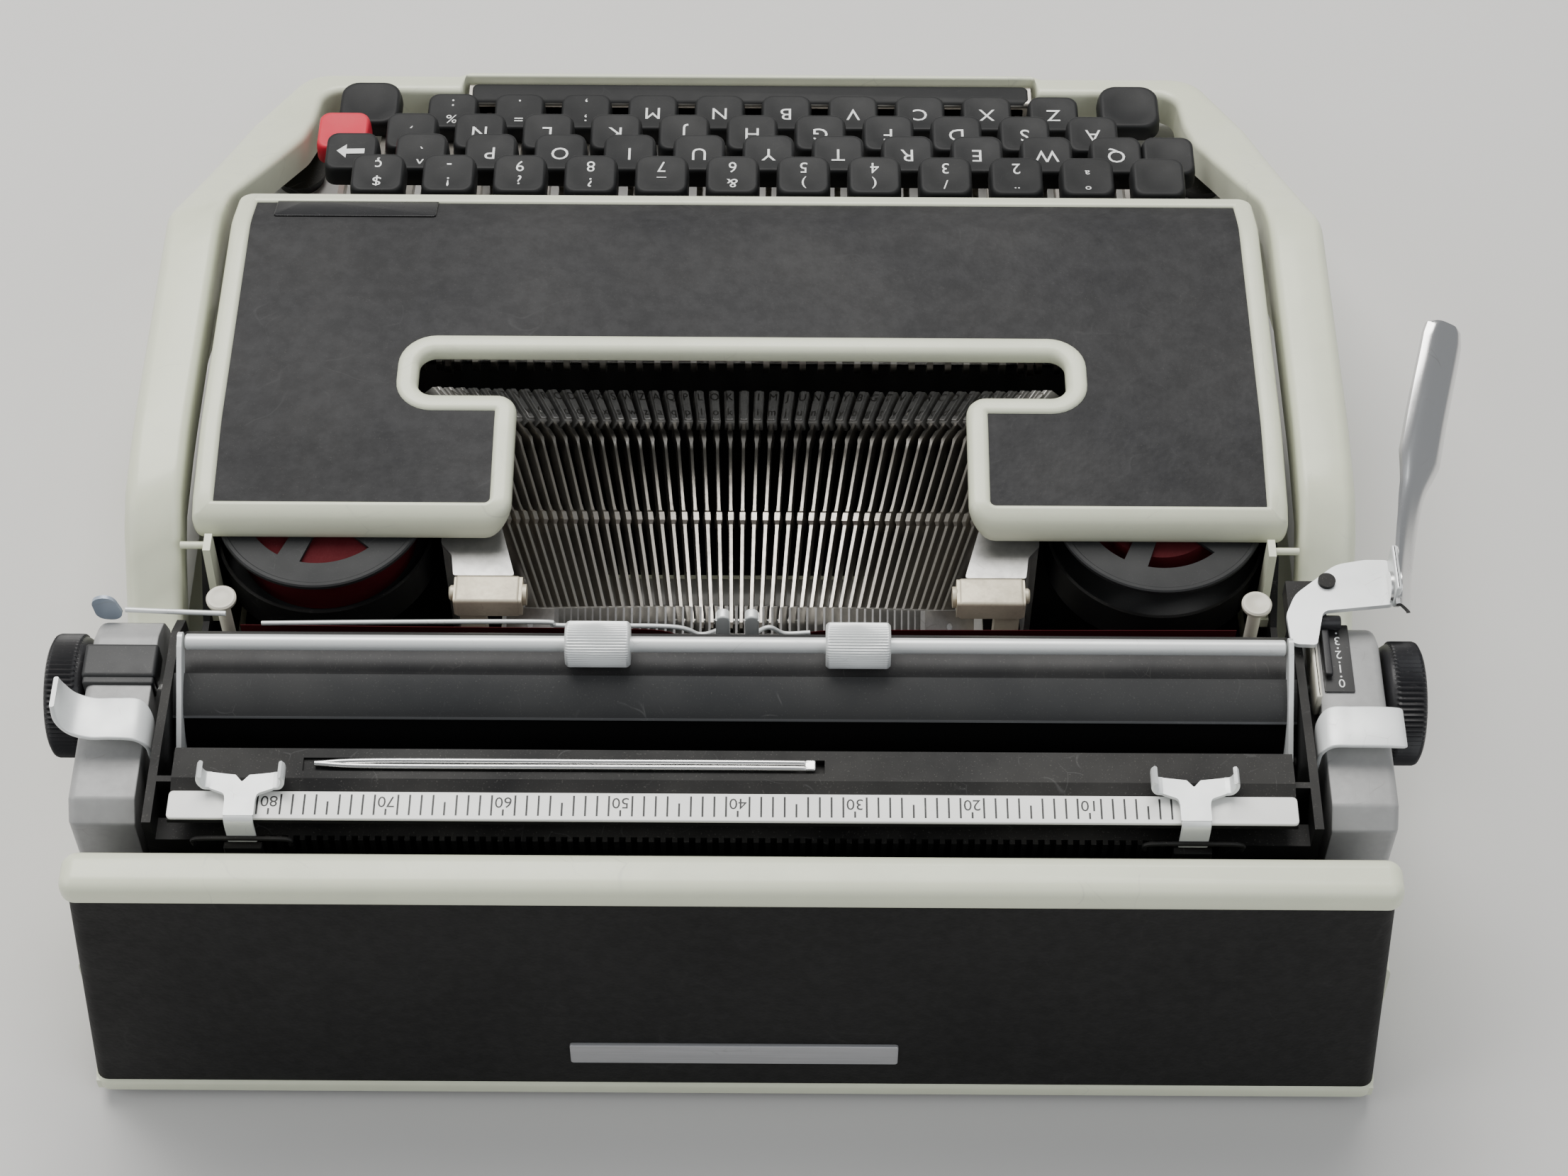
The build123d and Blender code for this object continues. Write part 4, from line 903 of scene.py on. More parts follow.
def legend(words, x, y, z, size, shift_x=0.0, shift_y=0.0):
    """Letters laid on a cap's dish, a hair above it."""
    flat, faces = text_faces(words, size)
    flat = flat + [shift_x, shift_y, 0]
    rim = dish_depth(14.6 / 2 * 0.8, 0)
    lift = np.minimum(dish_depth(flat[:, 0], flat[:, 1]) - rim, 0.0) + 0.05
    return np.column_stack([flat[:, 0] + x, flat[:, 1] + y, z + lift]), faces


def row_piece(title, row, columns, letters, body, replaced, slot="key_plastic", material=None):
    """One row of keys: caps, levers and letters, all riding on its body."""
    caps, levers = key_parts(row, columns)
    piece(title + "_caps", *caps, body, slot, material or key_plastic, [replaced], smooth=45)
    piece(title + "_levers", *levers, body, "brushed_steel", bar_steel, smooth=30)
    marks = []
    for column, label in zip(columns, letters):
        x, y, z = key_x(column), ROW_Y[row], ROW_Z[row]
        if len(label) == 1:
            marks.append(legend(label, x, y, z, 6.4, 0.0, 0.2))
        elif label:
            marks.append(legend(label[0], x, y, z, 5.0, 0.0, -2.9))
            marks.append(legend(label[1], x, y, z, 5.0, 0.0, 3.0))
    if marks:
        piece(title + "_letters", *joined(marks), body, slot, legend_white, smooth=None)


NUMBER_LABELS = ["", "ªº", "2¨", "3/", "4(", "5)", "6&", "7_", "8?", "9¿", "-!", "ç$"]
Q_LABELS = ["", "Q", "W", "E", "R", "T", "Y", "U", "I", "O", "P", "`^"]
A_LABELS = ["A", "S", "D", "F", "H", "J", "K", "L", "Ñ", "´¨"]
Z_LABELS = ["Z", "X", "C", "V", "B", "N", "M", ",;", ".=", ":%"]
STRIKING = 4.25
row_piece("number_row", NUMBER_ROW, [n - 0.5 for n in range(12)], NUMBER_LABELS, "number_row",
          "number_row_keys")
row_piece("upper_row", Q_ROW, [-0.75, *range(11)], Q_LABELS, "upper_row", "upper_row_keys")
row_piece("home_row", A_ROW, [n + 0.25 for n in range(11) if n != 4], A_LABELS, "home_row", "home_row_keys")
row_piece("lower_row", Z_ROW, [n + 0.75 for n in range(10)], Z_LABELS, "lower_row", "lower_row_keys")
row_piece("centre_key", A_ROW, [STRIKING], ["G"], "centre_key", "striking_key")
row_piece("tabulator", A_ROW, [11.25], [""], "tabulator", "tab_key", "red_plastic", red_plastic)
row_piece("backspace", Q_ROW, [11], [""], "backspace", "backspace_key")
arrow = [(4.0, 0), (1.4, 2.5), (1.4, 0.9), (-3.6, 0.9), (-3.6, -0.9), (1.4, -0.9), (1.4, -2.5)]
arrow_points, arrow_faces = plate(arrow, [], 0, 0.02)
arrow_rim = dish_depth(14.6 / 2 * 0.8, 0)
arrow_points[:, 2] = dish_depth(arrow_points[:, 0], arrow_points[:, 1]) - arrow_rim + 0.05
piece("backspace_arrow", arrow_points + [key_x(11), ROW_Y[Q_ROW], ROW_Z[Q_ROW]],
      arrow_faces[:len(arrow) - 2], "backspace",
      "key_plastic", legend_white, smooth=None)

SHIFT_X, SHIFT_Y, SHIFT_Z = 108.0, -140.2, 25.0
shift_caps = joined([cap(side * SHIFT_X, SHIFT_Y, SHIFT_Z, 17.6, 17.2, 5.2, 5.0) for side in (-1, 1)])
piece("shift_caps", *shift_caps, "shift_pair", "key_plastic", key_plastic, ["shift_keys"], smooth=45)
shift_levers = joined([lever(key_x(c), 15.0, SHIFT_Z - 2.5, SHIFT_Y + 1.0, SHIFT_Y + 6.0)
                       for c in (-0.25, 10.75)])
piece("shift_levers", *shift_levers, "shift_pair", "brushed_steel", bar_steel, smooth=30)

space_low, space_high = corners("space_bar")
SPACE_Y0, SPACE_Y1, SPACE_TOP = -155.8, -147.5, 17.5
space_plan = rectangle(space_low[0], space_high[0], SPACE_Y0, SPACE_Y1)
space_cap = prism(space_plan, 2.6, SPACE_TOP - 6, SPACE_TOP, 0.4, 6, 12, 1.8)
nodes["space_bar"].data.materials[0] = bar_steel
piece("space_cap", space_cap[0] * [1.003, 1, 1] + [0, 0, 0.15], space_cap[1], "space_lever", "key_plastic",
      key_plastic, smooth=45)

# ---------------------------------------------------------------- ribbon
SPOOL_X, SPOOL_Y, SPOOL_R, SPOOL_TOP = 102.5, 27.0, 26.0, 56.0


def kidney(inner, outer, start, end):
    """A window in a flange: a ring sector between two radii and angles, with round corners."""
    angles = np.radians(np.linspace(start, end, 14))
    out = np.column_stack([outer * np.cos(angles), outer * np.sin(angles)])
    back = np.radians(np.linspace(end - 7, start + 7, 8))
    return np.concatenate([out, np.column_stack([inner * np.cos(back), inner * np.sin(back)])])


def reel(x):
    """A ribbon spool: a lathe-turned hub, rim bead and lower flange, and a top flange with windows."""
    bottom = SPOOL_TOP - 16
    around = np.linspace(0, 2 * math.pi, 96, endpoint=False)
    rim = np.column_stack([np.cos(around), np.sin(around)]) * (SPOOL_R - 0.6)
    centre_hole = np.column_stack([np.cos(around[::4]), np.sin(around[::4])]) * 3.0
    windows = [kidney(9.2, 18.8, 72 * n + 6, 72 * n + 60) for n in range(5)]
    flange, faces = plate(rim, windows + [centre_hole], SPOOL_TOP - 1.1, SPOOL_TOP - 0.2)
    bead = [(SPOOL_R - 1.6, SPOOL_TOP - 1.2), (SPOOL_R, SPOOL_TOP - 1.2), (SPOOL_R, SPOOL_TOP - 0.3),
            (SPOOL_R - 0.4, SPOOL_TOP), (SPOOL_R - 1.2, SPOOL_TOP), (SPOOL_R - 1.6, SPOOL_TOP - 0.3)]
    bead_points, bead_faces = ring_lathe(bead, 96)
    hub = ring_lathe([(2.55, bottom), (7.8, bottom), (7.8, SPOOL_TOP - 0.4), (6.6, SPOOL_TOP + 0.7),
                      (3.4, SPOOL_TOP + 0.7), (2.55, SPOOL_TOP)], 48)
    lower = ring_lathe([(2.6, bottom), (SPOOL_R, bottom), (SPOOL_R, bottom + 1.1), (2.6, bottom + 1.1)], 96)
    points, faces = joined([(flange, faces), (bead_points, bead_faces), hub, lower])
    return points + [x, SPOOL_Y, 0], faces


def ring_lathe(section, steps):
    """A closed (radius, height) section, taken counter-clockwise, turned about the upright axis."""
    section = np.asarray(section, float)
    around = np.linspace(0, 2 * math.pi, steps, endpoint=False)[:, None]
    rings = np.stack([section[:, 0] * np.cos(around), section[:, 0] * np.sin(around),
                      np.broadcast_to(section[:, 1], (steps, len(section)))], -1)
    points, faces = skin(rings, closed=True)
    return points, [face[::-1] for face in faces]


def coil(x, radius):
    """Wound ribbon: a ring whose sides are slightly ridged by the turns."""
    heights = np.linspace(SPOOL_TOP - 14.6, SPOOL_TOP - 1.4, 10)
    ridge = np.where(np.arange(10) % 2, 0.25, 0.0)
    section = [(radius - r, z) for r, z in zip(ridge, heights)] + [(8.2, heights[-1]), (8.2, heights[0])]
    points, faces = ring_lathe(section, 72)
    return points + [x, SPOOL_Y, 0], faces


for side, name, radius in ((1, "right", 22.0), (-1, "left", 15.0)):
    piece(f"reel_{name}", *reel(side * SPOOL_X), f"{name}_spool", "spool_plastic", spool_plastic,
          [f"spool_{name}"], smooth=35)
    piece(f"ribbon_coil_{name}", *coil(side * SPOOL_X, radius), f"{name}_spool", "ribbon_fabric",
          ribbon_cloth,
          [f"ribbon_pack_{name}"], smooth=35)

POST_X, POST_Y = 123.8, 57.2
button = [(0, SPOOL_TOP - 0.2), (3.2, SPOOL_TOP - 0.2), (3.6, SPOOL_TOP + 0.3), (3.6, SPOOL_TOP + 1.1),
          (3.2, SPOOL_TOP + 1.5),
          (2.6, SPOOL_TOP + 1.55), (2.2, SPOOL_TOP + 1.3), (0, SPOOL_TOP + 1.3)]
post = [(0, 5.6), (1.6, 5.6), (1.6, SPOOL_TOP - 0.2), (0, SPOOL_TOP - 0.2)]
posts = joined([lathe(p, (side * POST_X, POST_Y, 0), "z", 40) for side in (-1, 1) for p in (button, post)])
piece("ribbon_buttons", *posts, "chassis", "cream_plastic", cream_plastic, ["ribbon_posts"], smooth=40)

RIBBON_Y, RIBBON_TOP, RIBBON_WIDE = 66.4, 59.0, 13.0


def ribbon_strip():
    """The inked ribbon between its guides: an upright band whose height drops by a smooth dip at the
    type guide, and whose plan bows a little towards the platen there."""
    x = np.linspace(-118, 118, 160)
    dip = 12.0 / (1 + (np.abs(x) / 11.5) ** 6)
    bow = 0.5 * np.cos(x / 118 * math.pi / 2)
    rings = []
    for offset, rise in ((-0.06, 0), (0.06, 0), (0.06, 1), (-0.06, 1)):
        rings.append(np.column_stack([x, RIBBON_Y + bow + offset,
                                      RIBBON_TOP - dip - RIBBON_WIDE * (1 - rise)]))
    return skin(np.stack(rings, 1))


strip_points, strip_faces = ribbon_strip()
ribbon_band = piece("ribbon_band", strip_points, strip_faces, "chassis", "ribbon_fabric", ribbon_cloth,
                    ["ribbon"], smooth=30)


def wire_piece(title, route, radius, body, material, slot, steps=10):
    """A bent wire along a smooth route."""
    piece(title, *tube(smooth_path(route), radius, steps), body, slot, material, smooth=60)


wire_piece("ribbon_wire_right", [(112, 69.2, 63.6), (80, 69.2, 64.4), (46, 69.2, 64.8), (42, 69.2, 63.4),
                                 (16, 69.2, 63.2),
                                 (9, 69.4, 60.4), (4.6, 69.6, 62.4)], 0.55, "chassis", silver_paint,
                                 "bright_steel")
wire_piece("ribbon_wire_left", [(-4.6, 69.6, 62.0), (-7.5, 69.4, 63.4), (-11, 69.3, 60.8),
                                (-17, 69.3, 61.2)], 0.55, "chassis",
           silver_paint, "bright_steel")

# ---- painted shade: a near-black sheet on the floor plate, with the basket's opening, reaching forward under the levers
FLOOR_TOP = 5.6
shade_floor_sheet = plate(rectangle(-128, 128, -80, 145), [rectangle(-62, 62, 12, 46)], FLOOR_TOP + 0.02,
                    FLOOR_TOP + 0.4)
piece("shade_floor_sheet", *shade_floor_sheet, "chassis", "black_steel", painted_shade_black, smooth=30)

# ---- basket fittings

def guide_prongs():
    """Two upright fingers with rounded tops either side of the typing line."""
    shapes = []
    for side in (-1, 1):
        flat, faces = prism(rectangle(1.75, 4.9, 48.0, 74.5), [0.4, 0.4, 1.5, 1.5], -1.3, 1.3, 0.3, 5, 1, 0.5)
        upright_points, upright_faces = turned(flat, faces, "xzy")
        if side < 0:
            upright_points, upright_faces = mirrored(upright_points, upright_faces)
        shapes.append((upright_points + [0, 73.2, 0], upright_faces))
    return joined(shapes)


piece("type_guide_fingers", *guide_prongs(), "chassis", "bright_steel", silver_paint, smooth=40)


def pivot_caps():
    """Cream blocks over the basket's pivots: rounded boxes with a small round end boss."""
    shapes = []
    for side in (-1, 1):
        box = prism(rectangle(53.0, 68.8, 46.7, 54.8), 0.8, 46.4, 52.8, 0.6, 4, 1, 0.9)
        boss = lathe([(0, -1.2), (1.5, -1.2), (1.9, -0.8), (1.9, 0), (0, 0)], (0, 0, 0), "x", 20)
        boss = (boss[0] * [-1, 1, 1] + [69.0, 50.7, 50.6], [f[::-1] for f in boss[1]])
        disc = lathe([(0, 0), (2.4, 0), (2.6, 0.3), (2.6, 1.4), (0, 1.6)], (0, 0, 0), "x", 24)
        disc = (disc[0] * [-1, 1, 1] + [52.9, 50.7, 50.0], [f[::-1] for f in disc[1]])
        for points, faces in (box, boss, disc):
            shapes.append(on_side(side, points, faces))
    return joined(shapes)


piece("pivot_covers", *pivot_caps(), "chassis", "brass_fitting", cream_brass, smooth=35)


def side_bracket_plate():
    """A flat plate beside the basket whose inner edge slants in towards the segment."""
    shape = [(73.0, 17.0), (73.0, 37.0), (70.2, 40.5), (69.4, 46.6), (54.6, 46.6), (62.4, 17.0)]
    rounded = outline(shape, [0.8, 2.2, 2.2, 0.6, 0.6, 1.0], 0, 4, 1)
    one = plate(rounded, [], 50.9, 52.3)
    return joined([one, mirrored(*one)])


piece("side_plates", *side_bracket_plate(), "chassis", "brushed_steel", plate_steel, smooth=30)

# ---------------------------------------------------------------- carriage
PLATEN_Y, PLATEN_Z, PLATEN_R = 93.0, 68.0, 15.0
SHAFT = (0, PLATEN_Y, PLATEN_Z)
platen_half = platen_high[0]
CHAMFER = 0.5
long_rows = np.linspace(-platen_half + CHAMFER, platen_half - CHAMFER, 30)
roll = [(0, -platen_half), (PLATEN_R - CHAMFER, -platen_half)]
roll += [(PLATEN_R, x) for x in long_rows]
roll += [(PLATEN_R - CHAMFER, platen_half), (0, platen_half)]
piece("platen_roller", *lathe(roll, SHAFT, "x", 96), "platen_roll", "platen_rubber", platen_rubber,
      ["platen"], smooth=40)


def knob(side):
    """A fluted knob: a lathe profile whose rim rows carry fine flutes, smooth at both shoulders."""
    profile = [(0, 0.0), (11.6, 0.0), (12.8, 0.5), (13.4, 1.4), (13.5, 1.9), (14.2, 2.2), (14.25, 3.0),
               (14.25, 5.5), (14.25, 7.6),
               (14.0, 8.3), (12.9, 8.9), (11.4, 9.2), (10.6, 8.6), (6.0, 8.5), (5.4, 8.9), (0, 8.9)]
    points, faces = lathe(profile, (0, 0, 0), "x", 288, 0.55, 72, (5, 6, 7, 8, 9))
    points = points + [147.1, PLATEN_Y, PLATEN_Z]
    return on_side(side, points, faces)


piece("roller_knobs", *joined([knob(1), knob(-1)]), "platen_roll", "knob_plastic", knob_plastic,
      ["platen_knobs"], smooth=45)

BAIL_Y, BAIL_Z, BAIL_R = 92.4, 89.0, 1.8
BAIL_PIVOT = (112.0, 72.0)
bail_reach = 123.2
rod_profile = [(0, -bail_reach), (BAIL_R - 0.3, -bail_reach), (BAIL_R, -bail_reach + 0.3)]
rod_profile += [(BAIL_R, x) for x in np.linspace(-bail_reach + 2, bail_reach - 2, 20)]
rod_profile += [(BAIL_R, bail_reach - 0.3), (BAIL_R - 0.3, bail_reach), (0, bail_reach)]


def bail_arm(side):
    """A bowed flat arm from the rod to its pivot, broad at the pivot."""
    shape = [(BAIL_Y - 2.6, BAIL_Z + 0.8), (BAIL_Y - 0.4, BAIL_Z + 2.6), (BAIL_Y + 2.4, BAIL_Z + 1.4),
             (103.6, 83.6),
             (BAIL_PIVOT[0] + 3.6, BAIL_PIVOT[1] + 2.6), (BAIL_PIVOT[0] + 2.6, BAIL_PIVOT[1] - 3.2),
             (BAIL_PIVOT[0] - 3.2, BAIL_PIVOT[1] - 2.4), (99.0, 81.2)]
    flat = outline(shape[::-1], [2.4, 2.4, 2.6, 2.6, 6.0, 1.4, 1.4, 1.4], 0, 5, 1)
    points, faces = plate(flat, [], 0.0, 1.1)
    points, faces = turned(points, faces, "yzx")
    points = points + [123.7, 0, 0]
    return on_side(side, points, faces)


rod = lathe(rod_profile, (0, BAIL_Y, BAIL_Z), "x", 32)
piece("bail_rod_and_arms", *joined([rod, bail_arm(1), bail_arm(-1)]), "paper_bail", "bright_steel",
      silver_paint,
      ["bail_frame"], smooth=35)


def bail_roller(x):
    """A small roller with fine lengthwise flutes and plain turned ends."""
    half = 7.25
    profile = [(1.95, -half), (4.6, -half), (5.1, -half + 0.5), (5.2, -half + 0.9), (5.2, 0),
               (5.2, half - 0.9),
               (5.1, half - 0.5), (4.6, half), (1.95, half)]
    points, faces = lathe(profile, (0, 0, 0), "x", 200, 0.32, 50, (3, 4, 5))
    return points + [x, BAIL_Y, BAIL_Z], faces


piece("bail_fluted_rollers", *joined([bail_roller(30.8), bail_roller(-27.5)]), "bail_roller_pair",
      "bright_steel", silver_paint,
      ["bail_rollers"], smooth=50)


def end_casing(side):
    """An end cover: a side outline with a rolled front, a level top and a stepped tail, carried across
    its width with softened edges."""
    shape = [(77.0, 52.0), (133.5, 52.0), (133.5, 77.5), (129.0, 81.6), (86.0, 82.0), (79.4, 78.6),
             (77.0, 72.0)]
    points, faces = prism(shape, [1.0, 1.0, 1.4, 1.6, 5.0, 6.0, 5.0], 0.0, 15.0, 0.3, 6, 6, 2.0)
    points, faces = turned(points, faces, "yzx")
    points = points + [131.2, 0, 0]
    return on_side(side, points, faces)


for side, name in ((1, "right"), (-1, "left")):
    piece(f"end_casing_{name}", *end_casing(side), "carriage", "casing_paint", carriage_paint,
          [f"end_cover_{name}"], smooth=40)
strap = prism(rectangle(130.6, 147.2, 88.6, 97.6), 0.8, 77.0, 83.0, 0.4, 4, 1, 0.9)
strap_step = prism(rectangle(130.8, 146.8, 97.4, 99.4), 0.5, 77.0, 82.6, 0.3, 3, 1, 0.5)
piece("shaft_strap", *joined([strap, strap_step]), "carriage", "black_steel", dark_steel, smooth=40)


def bent_tab(route, body, title, replaced, slot="bright_steel", material=None):
    """A finger tab: flat strip whose route bends in the x-z plane while its width along y changes."""
    route = np.asarray(route, float)
    fine = smooth_path(route, 8)
    points, faces = strip(fine[:, :3], (0, 1, 0), fine[:, 3], 1.1, 0.45)
    piece(title, points, faces, body, slot, material or silver_paint, [replaced], smooth=40)


bent_tab([(129.3, 115.6, 74.0, 4.4), (129.3, 115.4, 80.0, 4.6), (129.6, 113.4, 84.0, 8.4),
          (132.0, 112.0, 86.6, 10.8),
          (137.0, 112.0, 87.2, 10.8), (142.0, 112.0, 87.2, 10.8), (146.2, 111.4, 88.4, 10.8),
          (148.6, 110.6, 91.4, 10.4),
          (149.2, 110.0, 94.8, 8.0)], "paper_release", "paper_release_tab", "paper_release_lever")
bent_tab([(-129.3, 115.6, 74.0, 4.4), (-129.3, 115.4, 80.0, 4.6), (-129.6, 113.4, 84.0, 8.4),
          (-132.0, 112.0, 86.4, 10.4),
          (-137.0, 112.0, 86.8, 10.6), (-143.0, 112.0, 86.8, 10.6), (-147.2, 112.0, 86.5, 10.4),
          (-147.9, 112.0, 86.0, 9.8)],
         "carriage_release", "carriage_release_tab", "carriage_release_lever")
wire_piece("card_wire", [(117, 78.5, 80.5), (128, 78.2, 80.6), (140, 77.8, 80.8)], 0.6, "carriage",
           silver_paint, "bright_steel")
thumb = outline([(-3.4, -4.6), (3.4, -4.0), (4.0, 3.0), (-1.0, 5.0)], 2.6, 0, 6, 1)
thumb_points, thumb_faces = plate(thumb, [], 0.0, 0.9)
thumb_points, thumb_faces = turned(thumb_points, thumb_faces, "xzy")
piece("card_finger", thumb_points + [143.4, 77.4, 81.8], thumb_faces, "carriage", "bright_steel", blue_grey,
      smooth=30)

# ---- margin scale and stops
scale_low, scale_high = corners("margin_scale")
points, faces = prism(rectangle(scale_low[0], scale_high[0], scale_low[1], scale_high[1]), 1.0,
                      scale_low[2], scale_high[2],
                      0.15, 4, 1, 0.25)
piece("scale_strip", points, faces, "carriage", "scale_enamel", scale_enamel, ["margin_scale"], smooth=40)
TICK, FIRST_TICK = 2.54, -102.7


def scale_marks():
    """Ruled ticks on the scale, one each tenth of an inch, and figures at each ten."""
    top = scale_high[2] + 0.03
    front, back = scale_low[1], scale_high[1]
    ticks = []
    for n in range(1, 84):
        x = FIRST_TICK + TICK * n
        if abs(x) > scale_high[0] - 2:
            continue
        start, end = front + 0.8, back - 1.0
        if n % 5 == 0:
            start = front + 2.6
        if n % 10 == 0:
            start = front + 4.4
        half_tick = 0.21
        flat = np.array([(x - half_tick, start, top), (x + half_tick, start, top),
                         (x + half_tick, end, top), (x - half_tick, end, top)])
        ticks.append((flat, [[0, 1, 2, 3]]))
        if n % 10 == 0:
            letters, faces = text_faces(str(n), 3.9)
            ticks.append((letters * [1, 1, 0] + [x, front + 2.5, top], faces))
    return joined(ticks)


piece("scale_marks", *scale_marks(), "carriage", "scale_enamel", black_ink, smooth=None)


def butterfly(x):
    """A margin stop: a flat winged plate with a notch in front and rolled-up wing ends, a narrow waist,
    and a stem that folds down behind the scale."""
    top = 88.9
    wing = [(-7.2, 127.4), (-3.4, 127.9), (-1.5, 128.1), (0, 129.9), (1.5, 128.1), (3.4, 127.9),
            (7.2, 127.4), (7.2, 131.4),
            (3.6, 132.8), (3.3, 134.4), (3.3, 138.4), (-3.3, 138.4), (-3.3, 134.4), (-3.6, 132.8),
            (-7.2, 131.4)]
    rounded = outline(wing, [0.4, 1.2, 0.5, 0.3, 0.5, 1.2, 0.4, 0.8, 1.2, 1.2, 0.3, 0.3, 1.2, 1.2, 0.8], 0,
                      4, 1)
    shapes = [plate(rounded, [], top, top + 0.9)]
    for side in (-1, 1):
        roll_path = [(side * 6.8, 129.4, top + 0.45), (side * 8.2, 129.4, top + 0.8),
                     (side * 9.0, 129.3, top + 2.2),
                     (side * 9.1, 129.2, top + 3.8), (side * 8.6, 129.2, top + 4.8)]
        shapes.append(strip(smooth_path(roll_path, 5), (0, 1, 0), 4.4, 0.9, 0.35))
    fold = [(0, 137.6, top + 0.45), (0, 138.7, top + 0.2), (0, 139.3, top - 1.4), (0, 139.3, top - 8.0)]
    shapes.append(strip(smooth_path(fold, 6), (1, 0, 0), 6.4, 0.8, 0.3))
    points, faces = joined(shapes)
    return points + [x, 0, 0], faces


def stop_clip(x):
    """The black clip on the toothed rail behind a stop: a bent thin frame."""
    path = [(-10.5, 140.1, 80.6), (-10.5, 140.1, 82.4), (-7.0, 140.1, 83.0), (7.0, 140.1, 83.0),
            (10.5, 140.1, 82.4), (10.5, 140.1, 80.6)]
    hoop = tube(smooth_path(path, 6), 0.55, 8)
    block_points, block_faces = prism(rectangle(-4.2, 4.2, 139.2, 141.0), 0.4, 73.6, 80.4, 0.3, 3, 1, 0.3)
    points, faces = joined([hoop, (block_points, block_faces)])
    return points + [x, 0, 0], faces


for side, name, x in ((1, "right", 106.5), (-1, "left", -100.0)):
    piece(f"margin_wing_{name}", *butterfly(x), f"{name}_margin", "bright_steel", silver_paint,
          [f"margin_stop_{name}"], smooth=40)
    piece(f"margin_clip_{name}", *stop_clip(x), f"{name}_margin", "black_steel", black_steel, smooth=40)

# ---- return lever and its bracket


def lever_blade():
    """A channel-shaped lever: a shallow gutter section, carried from the pivot to the tip, that widens
    past its middle while its width turns from upright to level."""
    route = smooth_path([(-151.6, 80.0, 87.4), (-152.4, 70.0, 90.0), (-154.8, 56.0, 94.2),
                         (-158.0, 45.0, 98.0),
                         (-161.8, 30.0, 102.8), (-164.6, 19.0, 105.8), (-166.0, 12.5, 107.6)], 8)
    t = np.linspace(0, 1, len(route))
    twist = np.radians(np.interp(t, [0, 0.2, 0.5, 1.0], [60.0, 52.0, 34.0, 28.0]))
    width = np.interp(t, [0, 0.3, 0.4, 0.5, 0.9, 0.985, 1.0], [6.4, 6.8, 8.0, 12.0, 11.0, 9.6, 7.0])
    along = np.gradient(route, axis=0)
    along /= np.linalg.norm(along, axis=1)[:, None]
    wide = np.column_stack([-np.cos(twist), np.zeros(len(t)), -np.sin(twist)])
    wide -= along * (wide * along).sum(1)[:, None]
    wide /= np.linalg.norm(wide, axis=1)[:, None]
    out = np.cross(along, wide)
    a = np.linspace(-1, 1, 13)
    depth = np.interp(t, [0, 0.3, 0.6, 1.0], [0.3, 0.5, 1.7, 1.7])
    thick = 0.5
    upper = route[:, None] + wide[:, None] * a[None, :, None] * width[:, None, None] / 2 \
        + out[:, None] * ((a ** 4)[None, :] * depth[:, None] + thick)[..., None]
    lower = route[:, None] + wide[:, None] * a[::-1][None, :, None] * width[:, None, None] / 2 \
        + out[:, None] * ((a[::-1] ** 4)[None, :] * depth[:, None] - thick)[..., None]
    points, faces = skin(np.concatenate([upper, lower], 1))
    washers = [lathe([(0, 0), (r, 0), (r, 0.9), (0, 0.9)], (x, 75.0, 88.6), "x", 32)
               for x, r in ((-150.6, 4.6), (-149.2, 3.6))]
    return joined([(points, faces), *washers])


piece("lever_blade", *lever_blade(), "line_space_lever", "bright_steel", bright_steel, ["return_lever"],
      smooth=35)
bracket = outline([(-149.6, 66.6), (-144.0, 66.6), (-137.0, 68.0), (-127.0, 76.5), (-124.6, 82.0),
                   (-125.0, 90.2),
                   (-130.8, 90.4), (-133.0, 81.0), (-149.6, 79.0)], [1.5, 5.0, 8.0, 8.0, 3.0, 2.0, 1.0, 2.0,
                                                                     1.5], 0, 6, 1)
bracket_plate = plate(bracket, [], 86.3, 87.6)
ear = prism(rectangle(-150.3, -149.0, 66.6, 79.0), 0.4, 86.3, 93.6, 0.3, 3, 1, 0.5)
piece("lever_plate", *joined([bracket_plate, ear]), "line_space_lever", "casing_paint", silver_paint,
      ["lever_bracket"], smooth=35)

# ---- line-space setting: label with figures, cream side strip and finger knob
label = prism(rectangle(-139.2, -132.4, 81.2, 99.6), 0.3, 82.0, 82.35, 0.05, 3, 1, 0.1)
piece("setting_label", *label, "carriage", "black_steel", black_ink, smooth=30)


def setting_figures():
    """The figures and dots beside the line-space slider."""
    marks = []
    for word, y in (("0", 97.2), ("1", 93.2), ("2", 89.4), ("3", 85.6)):
        letters, faces = text_faces(word, 3.2)
        marks.append((letters * [1, 1, 0] + [-136.4, y, 82.4], faces))
    for y in (95.3, 91.4, 87.5, 83.4):
        letters, faces = text_faces("·", 4.0)
        marks.append((letters * [1, 1, 0] + [-136.4, y, 82.4], faces))
    return joined(marks)


piece("setting_figures", *setting_figures(), "carriage", "black_steel", legend_white, smooth=None)
cream_strip = prism(rectangle(-131.2, -129.9, 81.0, 103.0), 0.4, 78.0, 85.4, 0.3, 3, 1, 0.5)
piece("setting_guide", *cream_strip, "carriage", "cream_plastic", cream_plastic, smooth=35)
knob_profile = [(0, 0), (1.5, 0), (1.7, 0.3), (1.7, 5.2), (1.4, 5.6), (0, 5.6)]
knob_points, knob_faces = lathe(knob_profile, (-137.2, 82.0, 84.3), "x", 28)
slide_bar = prism(rectangle(-134.4, -132.6, 78.5, 96.0), 0.5, 83.0, 84.2, 0.2, 3, 1, 0.3)
piece("setting_slider", *joined([(knob_points, knob_faces), slide_bar]), "line_space_setting",
      "black_steel", knob_plastic,
      ["line_space_selector"], smooth=35)

